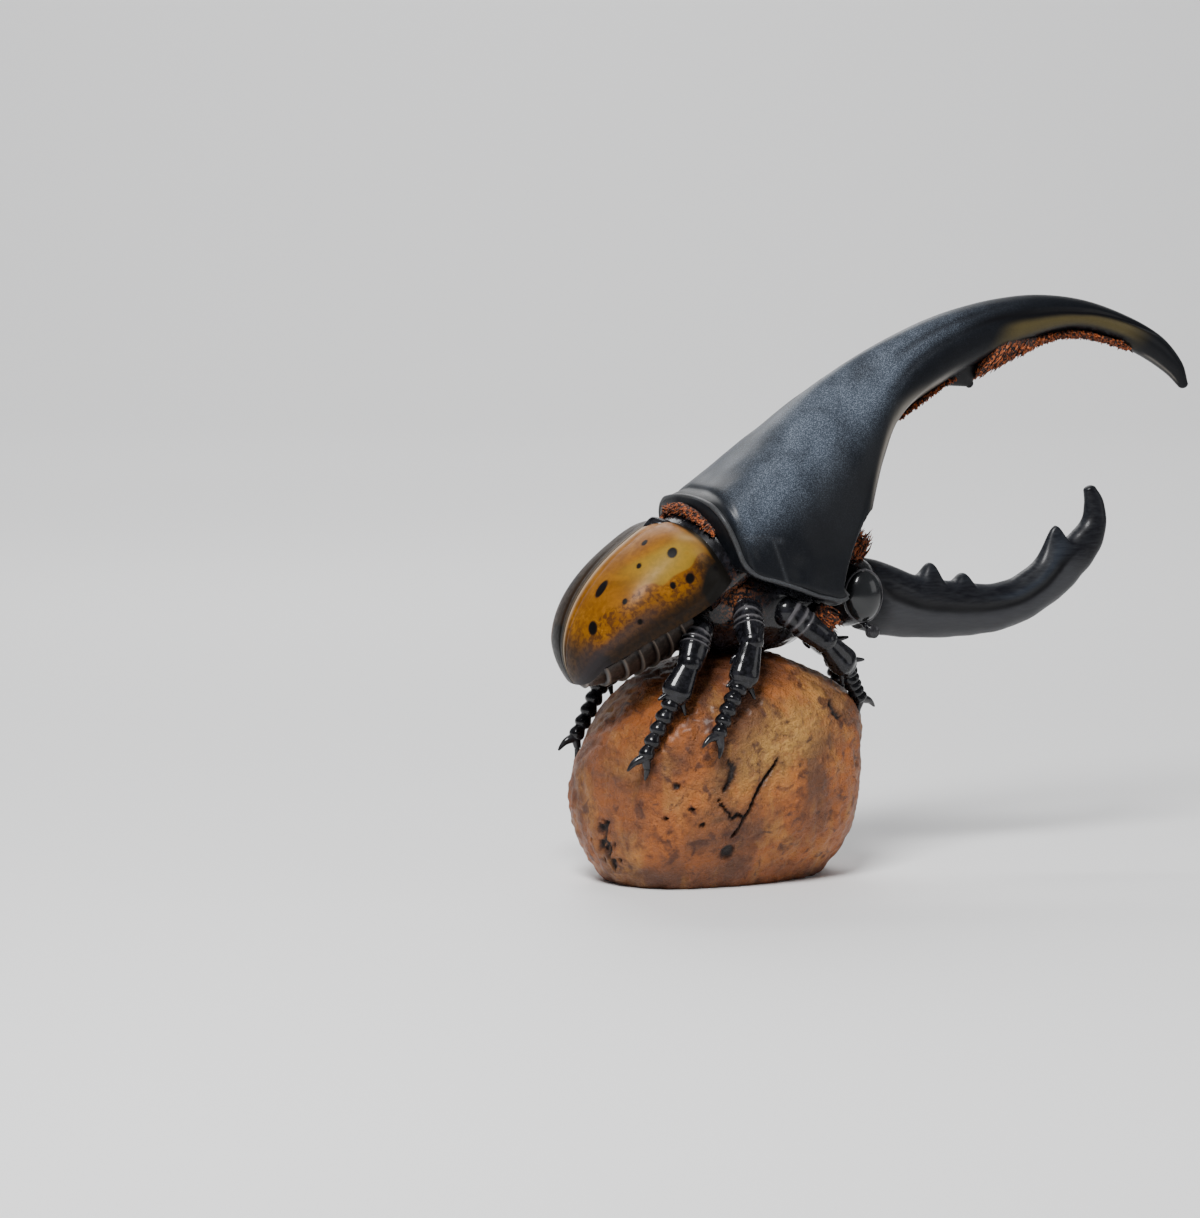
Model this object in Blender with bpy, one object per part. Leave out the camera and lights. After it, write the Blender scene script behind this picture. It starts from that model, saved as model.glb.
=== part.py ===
"""Painted hercules beetle figurine climbing over its own boulder base.

Frame: +X is the beetle's heading, +Y its left side, +Z up, with the origin at the
centre of the boulder's flat underside. Sizes below are in millimetres and every
mesh is scaled to metres as it is made.
"""
import math
import random

import bmesh
import bpy
import numpy as np
from mathutils import Vector

MM = 0.001
GAP = 0.30
HALF_GAP = GAP / 2
FIT = 0.34
SIDES = ((-1, "right"), (1, "left"))

# Boulder base: a rounded block with a flat underside.
ROCK_CENTRE_X = 0.6
ROCK_HALF_LENGTH = 32.2
ROCK_HALF_WIDTH = 25.0
ROCK_TAIL_DROP = 0.13
ROCK_TOP = 49.5
ROCK_ROOT = -8.0
ROCK_WAIST = 23.0
ROCK_WAIST_SLOPE = 0.19
ROCK_POWER = 2.3
ROCK_SEGMENTS = 32
ROCK_RINGS = 20

# Wing cases: a dome over a deck plane that is pitched nose up.
BODY_PITCH = math.radians(36.5)
DECK_FRONT = (-5.9, 64.7)
CASE_LENGTH = 35.1
CASE_FRONT = 6.2
CASE_CREST = 8.0
CASE_HEIGHT = 17.4
CASE_HALF_WIDTH = 18.0
CASE_POWER = 2.55
CASE_RINGS = 16
CASE_ARC = 12

# Belly under the deck plane.
BELLY_DEPTH = 8.5
BELLY_HALF_WIDTH = 15.8
BELLY_SEGMENTS = 5
BELLY_FRONT = -9.5

# Pronotum and its horn, rear to tip: top x, top z, bottom x, bottom z, half width,
# height of the widest level (share of the depth), power of the upper outline.
CREST_STATIONS = (
    (-7.6, 83.4, -2.0, 68.2, 17.8, 0.10, 3.0),
    (0.3, 88.9, 3.5, 65.8, 18.0, 0.08, 2.7),
    (9.4, 96.4, 11.0, 63.2, 17.8, 0.08, 2.3),
    (20.8, 105.0, 18.5, 60.6, 16.8, 0.08, 1.9),
    (30.4, 111.0, 25.0, 59.3, 15.2, 0.10, 1.7),
    (38.3, 115.2, 30.0, 68.0, 11.8, 0.15, 1.8),
    (45.2, 118.3, 33.4, 80.0, 8.8, 0.25, 2.0),
    (52.0, 121.0, 36.8, 90.6, 7.4, 0.35, 2.0),
    (60.0, 123.4, 44.8, 99.6, 6.6, 0.42, 2.0),
    (70.0, 125.4, 58.8, 108.2, 5.8, 0.45, 2.0),
    (80.6, 126.2, 73.5, 114.0, 5.2, 0.45, 2.0),
    (92.0, 125.0, 87.0, 117.6, 4.5, 0.45, 2.0),
    (103.0, 121.6, 98.5, 116.0, 3.8, 0.45, 2.0),
    (112.8, 116.8, 108.2, 111.9, 3.1, 0.45, 2.0),
    (118.8, 110.8, 115.0, 107.9, 2.2, 0.45, 2.0),
    (120.8, 105.8, 118.5, 104.8, 1.2, 0.50, 2.0),
)
CREST_CUTS = (0.0, 7.4, 11.4, 15.0)
CREST_NAMES = ("pronotum", "thoracic_horn_shaft", "thoracic_horn_tip")
CREST_STEPS = 2
CREST_POINTS = 30
# Tooth under the horn, root to tip: x, z, half length along the horn and half width.
HORN_TOOTH = (
    (59.6, 114.0, 8.6, 4.4),
    (61.9, 109.6, 4.9, 2.7),
    (63.9, 106.6, 2.2, 1.4),
    (64.8, 104.9, 0.6, 0.5),
)
HORN_TOOTH_LEAN = math.radians(38)
HORN_TOOTH_POINTS = 12

# Scoop in the front of the pronotum, which the head fills.
SCOOP_CENTRE = (44.7, 58.3)
SCOOP_RADIUS = 19.8
SCOOP_LENGTH = 60.0

# Head and its horn, in the same terms as the crest.
HEAD_CENTRE = (32.2, 0.0, 61.3)
HEAD_RADII = (7.4, 9.2, 7.8)
HEAD_HORN_STATIONS = (
    (35.5, 68.6, 35.0, 52.6, 6.6),
    (41.5, 67.4, 41.0, 50.7, 6.0),
    (49.0, 64.2, 50.0, 49.6, 5.2),
    (57.5, 62.6, 60.0, 49.4, 4.8),
    (66.5, 61.4, 69.0, 49.9, 4.5),
    (74.0, 62.0, 78.5, 52.3, 4.2),
    (80.5, 65.6, 87.0, 57.0, 3.9),
    (85.7, 69.4, 93.7, 62.8, 3.5),
    (90.3, 71.9, 97.8, 68.8, 3.0),
    (93.4, 75.2, 99.3, 74.6, 2.5),
    (93.9, 78.4, 98.5, 79.2, 2.0),
    (93.7, 81.3, 96.4, 82.1, 1.3),
)
HEAD_HORN_CUTS = (0.0, 6.4, 11.0)
HEAD_HORN_NAMES = ("head_horn_shaft", "head_horn_hook")
HEAD_HORN_WAIST = 0.42
HEAD_HORN_STEPS = 2
HEAD_HORN_POINTS = 18
# Teeth: root x, root z, tip x, tip z, root radius.
HEAD_HORN_TEETH = (
    (53.0, 60.5, 54.4, 67.4, 3.3),
    (60.4, 60.0, 61.2, 64.6, 2.4),
)
HOOK_TOOTH = (88.0, 66.5, 85.6, 74.0, 3.2)
TOOTH_END = 0.3

EYE_CENTRE = (31.6, 8.7, 62.0)
EYE_RADII = (4.2, 3.0, 5.2)

# Feelers on the left side: stem from its root, and the club's centre.
FEELER_STEM = ((31.0, 6.4, 57.0), (31.8, 8.6, 55.2), (32.8, 9.6, 53.9))
FEELER_STEM_RADII = (0.8, 0.65, 0.7)
FEELER_CLUB = (33.4, 10.2, 53.1)
FEELER_CLUB_RADII = (1.5, 0.9, 1.5)

THORAX_CENTRE = (5.0, 0.0, 61.0)
THORAX_RADII = (21.0, 14.6, 9.2)
# Neck that carries the pronotum: places along the deck plane, half width, height above and below.
NECK_PLACES = (-4.0, 3.0, 8.0, 12.0)
NECK_HALF_WIDTH = 15.2
NECK_HEIGHT = 14.6
NECK_FLOOR = 4.0
NECK_POINTS = 20

# Small plate where the wing cases meet the neck: its front, shoulders and tip as distances
# ahead on the deck, its half widths, and how far it reaches into and above the wing cases.
SCUTELLUM_FRONT = 4.6
SCUTELLUM_SHOULDER = 1.84
SCUTELLUM_TIP = -2.6
SCUTELLUM_HALF = 3.2
SCUTELLUM_TIP_HALF = 0.35
SCUTELLUM_ROOT = -3.0
SCUTELLUM_LIFT = 0.9
SCUTELLUM_SLOPE = 0.9

# Bristles under the hind rim of the pronotum: half width, height and place of their arch,
# which leans forward towards its top as the rim does.
FRINGE_HALF_WIDTH = 15.9
FRINGE_HEIGHT = 15.6
FRINGE_AHEAD = 4.6
FRINGE_LEAN = 3.4
FRINGE_ANGLES = (math.radians(18), math.radians(162))
FRINGE_SECTION = ((-1.6, 1.8), (0.3, 1.6), (0.7, -0.2), (0.2, -1.5), (-1.6, -1.5))
FRINGE_STEPS = 14
FRINGE_LOCKS = 13
FRINGE_REACH = 3.0

# Tufts at the throat and in front of the chest: root and tip, then root radius and number of locks.
THROAT_TUFT = ((30.0, 0.0, 73.0), (37.4, 0.0, 69.4))
THROAT_SHAPE = (3.6, 6)
CHEST_TUFT = ((18.5, 11.0, 58.4), (22.6, 13.2, 55.0))
CHEST_SHAPE = (2.3, 4)

# Brushes of bristles along the hollow underside of the horn: stretch in crest stations,
# and how far the tips stand off the horn.
BRUSHES = {"horn_brush_front": (9.42, 12.7), "horn_brush_rear": (7.6, 9.0)}
BRUSH_REACH = {"horn_brush_front": (6.4, 2.6), "horn_brush_rear": (5.4, 5.8)}
BRUSH_HALF_WIDTH = 2.4
BRUSH_CORE = 0.5
BRUSH_ROOT = 1.6
BRUSH_STEPS = 10

# Locks of bristle: spacing along a brush, then width and thickness in each of the three places.
LOCK_SPACING = 2.6
BRUSH_LOCK = (3.5, 1.45)
FRINGE_LOCK = (2.2, 1.2)
TUFT_LOCK = (1.95, 1.3)
BRISTLE_SEED = 7

# Legs on the right side: hip, trochanter, knee, ankle and toe.
LEG_JOINTS = {
    "hind": ((-8.0, 9.0, 56.5), (-11.4, 13.6, 54.6), (-14.8, 17.2, 49.2),
             (-19.0, 18.2, 42.0), (-25.8, 17.8, 29.4)),
    "middle": ((3.0, 9.0, 58.5), (0.4, 14.6, 58.2), (-0.8, 18.6, 53.4),
               (-4.6, 21.4, 44.8), (-11.6, 24.4, 34.2)),
    "front": ((9.0, 8.0, 58.0), (11.2, 13.6, 58.2), (18.4, 16.0, 52.4),
              (24.4, 15.2, 46.2), (29.4, 12.4, 38.6)),
}
LEFT_FRONT = ((10.0, 8.0, 58.0), (17.0, 13.4, 56.0), (27.0, 14.6, 53.2),
              (34.6, 11.0, 47.4), (34.4, 6.4, 37.8))
HIP_RADIUS = 2.7
FEMUR_RADIUS = 3.0
TIBIA_RADIUS = 3.0
TARSUS_BEADS = 5
TARSUS_RADIUS = 1.7
SPUR_LENGTH = 4.0
SPUR_RADIUS = 1.0
CLAW_LENGTH = 4.2
CLAW_RADII = (1.05, 0.8, 0.25)
CLAW_DROP = 0.8
MITRE = 2.6


def clear_scene():
    """Removes the objects that the scene starts with."""
    for obj in list(bpy.data.objects):
        bpy.data.objects.remove(obj)


def collection(name):
    """A collection linked to the scene."""
    group = bpy.data.collections.new(name)
    bpy.context.scene.collection.children.link(group)
    return group


def material(name, colour, roughness, metallic=0.0):
    """A plain finish of one colour."""
    finish = bpy.data.materials.new(name)
    finish.use_nodes = True
    shader = finish.node_tree.nodes["Principled BSDF"]
    shader.inputs["Base Color"].default_value = (*colour, 1.0)
    shader.inputs["Roughness"].default_value = roughness
    shader.inputs["Metallic"].default_value = metallic
    finish.diffuse_color = (*colour, 1.0)
    return finish


def mesh_from(name, points, faces):
    """A mesh in metres from points in millimetres, with its faces turned outwards."""
    mesh = bpy.data.meshes.new(name)
    mesh.from_pydata([tuple(c * MM for c in p) for p in points], [], faces)
    return closed_mesh(mesh)


def closed_mesh(mesh):
    """The same mesh with coinciding points welded and its faces turned outwards."""
    shell = bmesh.new()
    shell.from_mesh(mesh)
    bmesh.ops.remove_doubles(shell, verts=shell.verts, dist=1e-6)
    bmesh.ops.recalc_face_normals(shell, faces=shell.faces)
    shell.to_mesh(mesh)
    shell.free()
    return mesh


def helper(name, mesh):
    """An object in the cutters' collection."""
    obj = bpy.data.objects.new(name, mesh)
    obj.hide_render = True
    obj.display_type = "WIRE"
    CUTTERS.objects.link(obj)
    return obj


def part(name, obj, finish):
    """Moves a finished shape into the figurine's collection as a named piece."""
    for group in list(obj.users_collection):
        group.objects.unlink(obj)
    FIGURINE.objects.link(obj)
    obj.name = name
    obj.data.name = name
    obj.hide_render = False
    obj.display_type = "TEXTURED"
    obj.data.materials.clear()
    obj.data.materials.append(finish)
    obj.data.shade_smooth()
    obj.data.set_sharp_from_angle(angle=math.radians(40))
    return obj


def evaluated_copy(obj):
    """The mesh of an object with its modifiers applied."""
    bpy.context.view_layer.update()
    graph = bpy.context.evaluated_depsgraph_get()
    return bpy.data.meshes.new_from_object(obj.evaluated_get(graph))


def apply_modifiers(obj):
    """Replaces the object's mesh by its evaluated one."""
    mesh = evaluated_copy(obj)
    obj.modifiers.clear()
    obj.data = mesh
    return obj


def keep_largest(obj):
    """Keeps the closed surface that spans furthest and drops every scrap."""
    shell = bmesh.new()
    shell.from_mesh(obj.data)
    bmesh.ops.remove_doubles(shell, verts=shell.verts, dist=2e-6)
    unseen = set(shell.faces)
    best, best_size, islands = None, -1.0, []
    while unseen:
        island, stack = set(), [next(iter(unseen))]
        while stack:
            face = stack.pop()
            if face in island:
                continue
            island.add(face)
            for edge in face.edges:
                stack.extend(f for f in edge.link_faces if f not in island)
        unseen -= island
        corners = [v.co for f in island for v in f.verts]
        low = Vector(min(c[i] for c in corners) for i in range(3))
        high = Vector(max(c[i] for c in corners) for i in range(3))
        size = (high - low).length
        islands.append(island)
        if size > best_size:
            best, best_size = island, size
    drop = [f for island in islands if island is not best for f in island]
    bmesh.ops.delete(shell, geom=drop, context="FACES")
    loose = [v for v in shell.verts if not v.link_faces]
    bmesh.ops.delete(shell, geom=loose, context="VERTS")
    shell.to_mesh(obj.data)
    shell.free()
    return obj


def cut(obj, cutters, operation="DIFFERENCE", solver="EXACT"):
    """Cuts the object with each cutter, which stays for the next piece."""
    for cutter in cutters:
        step = obj.modifiers.new("cut", "BOOLEAN")
        step.operation = operation
        step.object = cutter
        step.solver = solver
    apply_modifiers(obj)
    return keep_largest(obj)


def fuse(obj, others):
    """Joins closed meshes into the object by one union and removes them."""
    if not others:
        return obj
    group = bpy.data.collections.new("fuse")
    bpy.context.scene.collection.children.link(group)
    for other in others:
        for old in list(other.users_collection):
            old.objects.unlink(other)
        group.objects.link(other)
    step = obj.modifiers.new("fuse", "BOOLEAN")
    step.operation = "UNION"
    step.operand_type = "COLLECTION"
    step.collection = group
    step.solver = "EXACT"
    apply_modifiers(obj)
    for other in others:
        bpy.data.objects.remove(other)
    bpy.data.collections.remove(group)
    return keep_largest(obj)


def loft(name, rings):
    """A closed skin over rings of equal count, with a fan of faces on each end."""
    count = len(rings[0])
    points = [p for ring in rings for p in ring]
    faces = []
    for i in range(len(rings) - 1):
        for j in range(count):
            a, b = i * count + j, i * count + (j + 1) % count
            faces.append((a, b, b + count))
            faces.append((a, b + count, a + count))
    for ring, first in ((rings[0], 0), (rings[-1], (len(rings) - 1) * count)):
        middle = sum((Vector(p) for p in ring), Vector()) / count
        points.append(tuple(middle))
        hub = len(points) - 1
        faces.extend((first + j, first + (j + 1) % count, hub) for j in range(count))
    return helper(name, mesh_from(name, points, faces))


def ellipsoid(name, centre, radii, grow=0.0, segments=24, rings=14):
    """A sphere primitive stretched to three radii in millimetres."""
    shell = bmesh.new()
    bmesh.ops.create_uvsphere(shell, u_segments=segments, v_segments=rings, radius=1.0)
    for vert in shell.verts:
        vert.co = Vector((centre[i] + vert.co[i] * (radii[i] + grow)) * MM for i in range(3))
    mesh = bpy.data.meshes.new(name)
    shell.to_mesh(mesh)
    shell.free()
    return helper(name, mesh)


def tube(name, points, radii, sides=8):
    """A curve with a round bevel that swells and thins, made a closed mesh."""
    curve = bpy.data.curves.new(name, "CURVE")
    curve.dimensions = "3D"
    curve.bevel_depth = MM
    curve.bevel_resolution = max(0, sides // 2 - 2)
    curve.use_fill_caps = True
    curve.twist_mode = "MINIMUM"
    line = curve.splines.new("POLY")
    line.points.add(len(points) - 1)
    for knot, place, radius in zip(line.points, points, radii):
        knot.co = (*(c * MM for c in place), 1.0)
        knot.radius = radius
    guide = bpy.data.objects.new(name, curve)
    CUTTERS.objects.link(guide)
    mesh = evaluated_copy(guide)
    mesh.transform(guide.matrix_world)
    bpy.data.objects.remove(guide)
    bpy.data.curves.remove(curve)
    return helper(name, closed_mesh(mesh))


def row_at(rows, place):
    """Values at a position between rows, on a curve that passes through each row."""
    rows = np.asarray(rows, float)
    last = len(rows) - 1
    i = min(int(place), last - 1)
    t = place - i
    a, b = rows[max(i - 1, 0)], rows[i]
    c, d = rows[i + 1], rows[min(i + 2, last)]
    square = 2 * a - 5 * b + 4 * c - d
    cube = 3 * b - a - 3 * c + d
    return 0.5 * (2 * b + (c - a) * t + square * t ** 2 + cube * t ** 3)


def places_between(start, end, steps):
    """Positions from start to end, with every even step that isn't close to either of them."""
    close = 0.08
    inner = [k / steps for k in range(math.ceil(start * steps), math.floor(end * steps) + 1)]
    inner = [p for p in inner if start + close < p < end - close]
    return [start, *inner, end]


def egg_ring(values, points, grow=0.0, shift=0.0):
    """One upright section: wide at its waist, rounded above and flatter below."""
    top_x, top_z, low_x, low_z, half, waist, power = values
    top, low = Vector((top_x, 0, top_z)), Vector((low_x, 0, low_z))
    up = (top - low).normalized()
    ahead = Vector((up.z, 0, -up.x))
    top, low = top + up * grow, low - up * grow
    depth = (top - low).length
    ring = []
    for k in range(points):
        angle = math.tau * (k + 0.5) / points
        c, s = math.cos(angle), math.sin(angle)
        n = power if s > 0 else max(2.0, 3.6 - 4.0 * waist)
        across = math.copysign(abs(c) ** (2 / n), c) * (half + grow)
        rise = abs(s) ** (2 / n)
        level = waist + (1 - waist) * rise if s > 0 else waist - waist * rise
        ring.append(tuple(low + up * (level * depth) + ahead * shift + Vector((0, across, 0))))
    return ring


def crest_piece(name, start, end, grow=0.0):
    """A length of the pronotum and horn between two positions along it."""
    rings = []
    for place in places_between(start, end, CREST_STEPS):
        shift = 0.0
        if place == start:
            shift = HALF_GAP - grow if start > 0 else -grow
        if place == end:
            shift = grow - HALF_GAP
        rings.append(egg_ring(row_at(CREST_STATIONS, place), CREST_POINTS, grow, shift))
    return loft(name, rings)


def head_horn_piece(name, start, end, grow=0.0):
    """A length of the head horn between two positions along it."""
    rings = []
    for place in places_between(start, end, HEAD_HORN_STEPS):
        shift = 0.0
        if place == start and start > 0:
            shift = HALF_GAP - grow
        if place == end:
            shift = grow - HALF_GAP
        values = (*row_at(HEAD_HORN_STATIONS, place), HEAD_HORN_WAIST, 2.0)
        rings.append(egg_ring(values, HEAD_HORN_POINTS, grow, shift))
    return loft(name, rings)


def in_body(ahead, side, up):
    """A point given along, across and above the deck plane of the wing cases."""
    c, s = math.cos(BODY_PITCH), math.sin(BODY_PITCH)
    return (DECK_FRONT[0] + ahead * c - up * s, side, DECK_FRONT[1] + ahead * s + up * c)


def case_share(back, middle, power):
    """Share of full size along the wing cases, which round off at both ends."""
    reach = back - middle if back > middle else middle - back
    span = CASE_LENGTH - middle if back > middle else CASE_FRONT + middle
    return max(0.0, 1 - min(1.0, reach / span) ** power) ** (1 / power)


def case_height(back):
    """Height of the wing cases above the deck at a distance behind its front."""
    return CASE_HEIGHT * case_share(back, CASE_CREST, 2.1 if back > CASE_CREST else 3.4)


def case_half_width(back):
    """Half width of the wing cases at a distance behind the deck's front."""
    middle = 0.40 * CASE_LENGTH
    return CASE_HALF_WIDTH * case_share(back, middle, 2.1 if back > middle else 3.8)


def case_stations():
    """Distances behind the deck's front, closer together towards the rounded ends."""
    span = CASE_LENGTH + CASE_FRONT
    return [span * 0.5 * (1 - math.cos(math.pi * k / CASE_RINGS)) - CASE_FRONT for k in range(CASE_RINGS + 1)]


def case_ring(back, low, high, points, grow, seam=0.0):
    """Arc over the wing cases at one station, from one side angle to another.

    Returns its distance ahead on the deck, its half width and its points.
    """
    reach = -back
    if back == -CASE_FRONT:
        reach += grow
    if back >= CASE_LENGTH - 1e-6:
        reach -= grow
    half = max(0.6, case_half_width(back)) + grow
    tall = max(0.6, case_height(back)) + grow
    ring = []
    for k in range(points + 1):
        angle = low + (high - low) * k / points
        c, s = abs(math.cos(angle)), abs(math.sin(angle))
        across = math.copysign(seam + (half - seam) * s ** (2 / CASE_POWER), angle)
        ring.append(in_body(reach, across, tall * c ** (2 / CASE_POWER)))
    return reach, half, ring


def wing_case(name, side):
    """One wing case: a quarter dome that stands on the deck beside the seam."""
    rings = []
    for back in case_stations():
        reach, half, ring = case_ring(back, 1e-9 * side, side * math.pi / 2, CASE_ARC, 0.0, HALF_GAP)
        ring.append(in_body(reach, side * half * 0.5, 0.0))
        ring.append(in_body(reach, side * HALF_GAP, 0.0))
        rings.append(ring)
    return loft(name, rings)


def dome_room(grow):
    """Both wing cases as one grown dome, for clearing what lies against them."""
    rings = []
    for back in case_stations():
        reach, half, ring = case_ring(back, -math.pi / 2, math.pi / 2, 2 * CASE_ARC, grow)
        ring.extend(in_body(reach, half * share, -grow) for share in (0.6, 0.0, -0.6))
        rings.append(ring)
    return loft("dome_room", rings)


def belly(name, grow=0.0):
    """Ringed abdomen that hangs below the deck, with a raised edge on each ring."""
    rings = []
    start, end = BELLY_FRONT, -(CASE_LENGTH - 1.2)
    per_ring = 4
    steps = BELLY_SEGMENTS * per_ring
    for k in range(steps + 1):
        ahead = start + (end - start) * k / steps
        share = k / steps
        taper = max(0.0, 1 - share ** 3.0) ** 0.5
        ridge = 0.55 * math.sin(math.pi * ((k % per_ring) / per_ring)) ** 2 if 0 < k < steps else 0.0
        half = max(1.2, BELLY_HALF_WIDTH * taper - ridge) + grow
        deep = max(1.0, (BELLY_DEPTH - 2.6 * share) * max(taper, 0.3) - ridge) + grow
        reach = ahead + (grow if k == 0 else 0.0) - (grow if k == steps else 0.0)
        ring = [in_body(reach, half * math.cos(math.pi * j / 12), -GAP - deep * math.sin(math.pi * j / 12))
                for j in range(13)]
        if grow:
            ring.extend(in_body(reach, side * half, grow - GAP) for side in (-1, 1))
        rings.append(ring)
    return loft(name, rings)


def thorax(name, grow=0.0):
    """Chest between the legs, with the neck that carries the pronotum."""
    chest = ellipsoid(name, THORAX_CENTRE, THORAX_RADII, grow, 20, 12)
    grown = 1 + grow / NECK_HALF_WIDTH
    rings = []
    for ahead in NECK_PLACES:
        ring = []
        for j in range(NECK_POINTS):
            angle = math.tau * j / NECK_POINTS
            c, s = math.cos(angle), math.sin(angle)
            up = (NECK_HEIGHT if s > 0 else NECK_FLOOR) * s
            ring.append(in_body(ahead, NECK_HALF_WIDTH * c * grown, up * grown))
        rings.append(ring)
    return fuse(chest, [loft("neck", rings)])


def rock_point(direction):
    """Point of the boulder's skin for a unit direction: a block whose widest level tilts."""
    total = sum(abs(c) ** ROCK_POWER for c in direction) ** (1 / ROCK_POWER)
    x, y, z = (c / total for c in direction)
    broad_wave = 0.022 * math.sin(5.3 * x + 1.1) * math.cos(4.1 * y - 0.6)
    lump = 1 + broad_wave + 0.014 * math.sin(6.7 * z + 3.0 * y)
    ahead = ROCK_HALF_LENGTH * x * lump
    waist = ROCK_WAIST + ROCK_WAIST_SLOPE * ahead
    top = ROCK_TOP - ROCK_TAIL_DROP * max(0.0, -ahead)
    rise = (top - waist) * z if z > 0 else (waist - ROCK_ROOT) * z
    narrow = 1 - 0.16 * max(0.0, -z)
    return Vector((ROCK_CENTRE_X + ahead, ROCK_HALF_WIDTH * y * lump * narrow, waist + rise))


def boulder(name, grow=0.0):
    """Rounded block with a tilted waist, cut flat underneath."""
    shell = bmesh.new()
    bmesh.ops.create_uvsphere(shell, u_segments=ROCK_SEGMENTS, v_segments=ROCK_RINGS, radius=1.0)
    for vert in shell.verts:
        vert.co = rock_point(vert.co.normalized()) * MM
    shell.normal_update()
    for vert, way in [(v, v.normal.copy()) for v in shell.verts]:
        vert.co += way * grow * MM
    if grow == 0:
        cut_flat = bmesh.ops.bisect_plane(
            shell, geom=shell.verts[:] + shell.edges[:] + shell.faces[:], dist=1e-7,
            plane_co=(0, 0, 0), plane_no=(0, 0, -1), clear_outer=True)
        rim = [e for e in cut_flat["geom_cut"] if isinstance(e, bmesh.types.BMEdge)]
        bmesh.ops.contextual_create(shell, geom=rim)
    bmesh.ops.triangulate(shell, faces=shell.faces)
    mesh = bpy.data.meshes.new(name)
    shell.to_mesh(mesh)
    shell.free()
    return helper(name, closed_mesh(mesh))


def scoop(radius):
    """Upright roller across the body that hollows the front of the pronotum."""
    shell = bmesh.new()
    bmesh.ops.create_cone(shell, cap_ends=True, segments=48, radius1=radius * MM, radius2=radius * MM,
                          depth=SCOOP_LENGTH * MM)
    mesh = bpy.data.meshes.new("scoop")
    shell.to_mesh(mesh)
    shell.free()
    roller = helper("scoop", mesh)
    roller.location = (SCOOP_CENTRE[0] * MM, 0, SCOOP_CENTRE[1] * MM)
    roller.rotation_euler = (math.pi / 2, 0, 0)
    return roller


def spike(name, root, tip, radius, sides=6, end=0.25):
    """A short tapered spike, slightly swollen near its root."""
    root, tip = Vector(root), Vector(tip)
    middle = root.lerp(tip, 0.55)
    return tube(name, [root, middle, tip], [radius, radius * 0.72, radius * end], sides)


def bead_radius(share):
    """Radius along the tarsus, swelling at the end of each of its beads."""
    swing = (share * TARSUS_BEADS) % 1.0
    return TARSUS_RADIUS * (0.72 + 0.42 * math.sin(math.pi * swing) ** 0.8)


def mirrored(points, side):
    """The points with their distance across the body turned to one side."""
    return [Vector((x, side * y, z)) for x, y, z in points]


def past(start, end, extra):
    """The point that lies beyond the end of a stretch by an extra length."""
    return end + (end - start).normalized() * extra


def leg_shapes(joints, side):
    """Femur, tibia and tarsus of one leg, each running on past its joints."""
    hip, coxa, knee, ankle, toe = mirrored(joints, side)
    femur = tube("femur", [hip, coxa, coxa.lerp(knee, 0.5), past(coxa, knee, MITRE)],
                 [HIP_RADIUS, HIP_RADIUS * 0.9, FEMUR_RADIUS, FEMUR_RADIUS * 0.84], 10)
    tibia = tube("tibia", [past(ankle, knee, MITRE), knee.lerp(ankle, 0.35), knee.lerp(ankle, 0.8),
                           past(knee, ankle, MITRE)],
                 [TIBIA_RADIUS * 0.84, TIBIA_RADIUS * 0.82, TIBIA_RADIUS, TIBIA_RADIUS], 10)
    down = (ankle - knee).normalized()
    out = Vector((0, side, 0))
    along = (toe - ankle).normalized()
    spurs = []
    for lean, size in ((1.0, 1.0), (-1.0, 0.8)):
        across = down.cross(out).normalized() * lean
        root = ankle - down * 1.2 + across * TIBIA_RADIUS * 0.3
        tip = root + across * SPUR_LENGTH * size + along * SPUR_LENGTH * 0.5
        spurs.append(spike("spur", root, tip, SPUR_RADIUS))
    beads = TARSUS_BEADS * 3
    places = [ankle.lerp(toe, k / beads) for k in range(beads + 1)]
    places[0] = past(toe, ankle, MITRE)
    tarsus = tube("tarsus", places, [bead_radius(k / beads) for k in range(beads + 1)], 8)
    claws = []
    for lean in (-1.0, 1.0):
        across = along.cross(out).normalized() * lean
        first = toe - along * 0.8
        bend = toe + along * CLAW_LENGTH * 0.45 + across * CLAW_LENGTH * 0.42
        point = toe + along * CLAW_LENGTH * 0.9 + across * CLAW_LENGTH * 0.5 - out * CLAW_DROP
        claws.append(tube("claw", [first, bend, point], CLAW_RADII, 6))
    fuse(tarsus, claws)
    return femur, tibia, tarsus, spurs


def leg_rooms(joints, side):
    """Grown femur and tibia, for clearing the tufts and feelers beside them."""
    hip, coxa, knee, ankle = mirrored(joints[:4], side)
    thick = FEMUR_RADIUS + FIT
    upper = tube("femur_room", [hip, coxa, coxa.lerp(knee, 0.5), past(coxa, knee, MITRE)], [thick] * 4, 10)
    lower = tube("tibia_room", [knee, knee.lerp(ankle, 0.5), past(knee, ankle, MITRE)], [thick] * 3, 10)
    return [upper, lower]


def tarsus_room(joints, side):
    """Grown tarsus below the ankle, which the spurs stay clear of."""
    ankle, toe = mirrored(joints, side)[3:]
    place, along = joint_plane(joints, side, 3)
    room = tube("tarsus_room", [ankle, ankle.lerp(toe, 0.5), toe], [TARSUS_RADIUS * 1.2 + FIT] * 3, 10)
    return trim_beyond(room, place + along * (HALF_GAP - FIT), -along)


def joint_plane(joints, side, index):
    """Place and direction of the mitre at one joint of a leg."""
    before, here, after = mirrored(joints[index - 1:index + 2], side)
    return here, ((here - before).normalized() + (after - here).normalized()).normalized()


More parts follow.
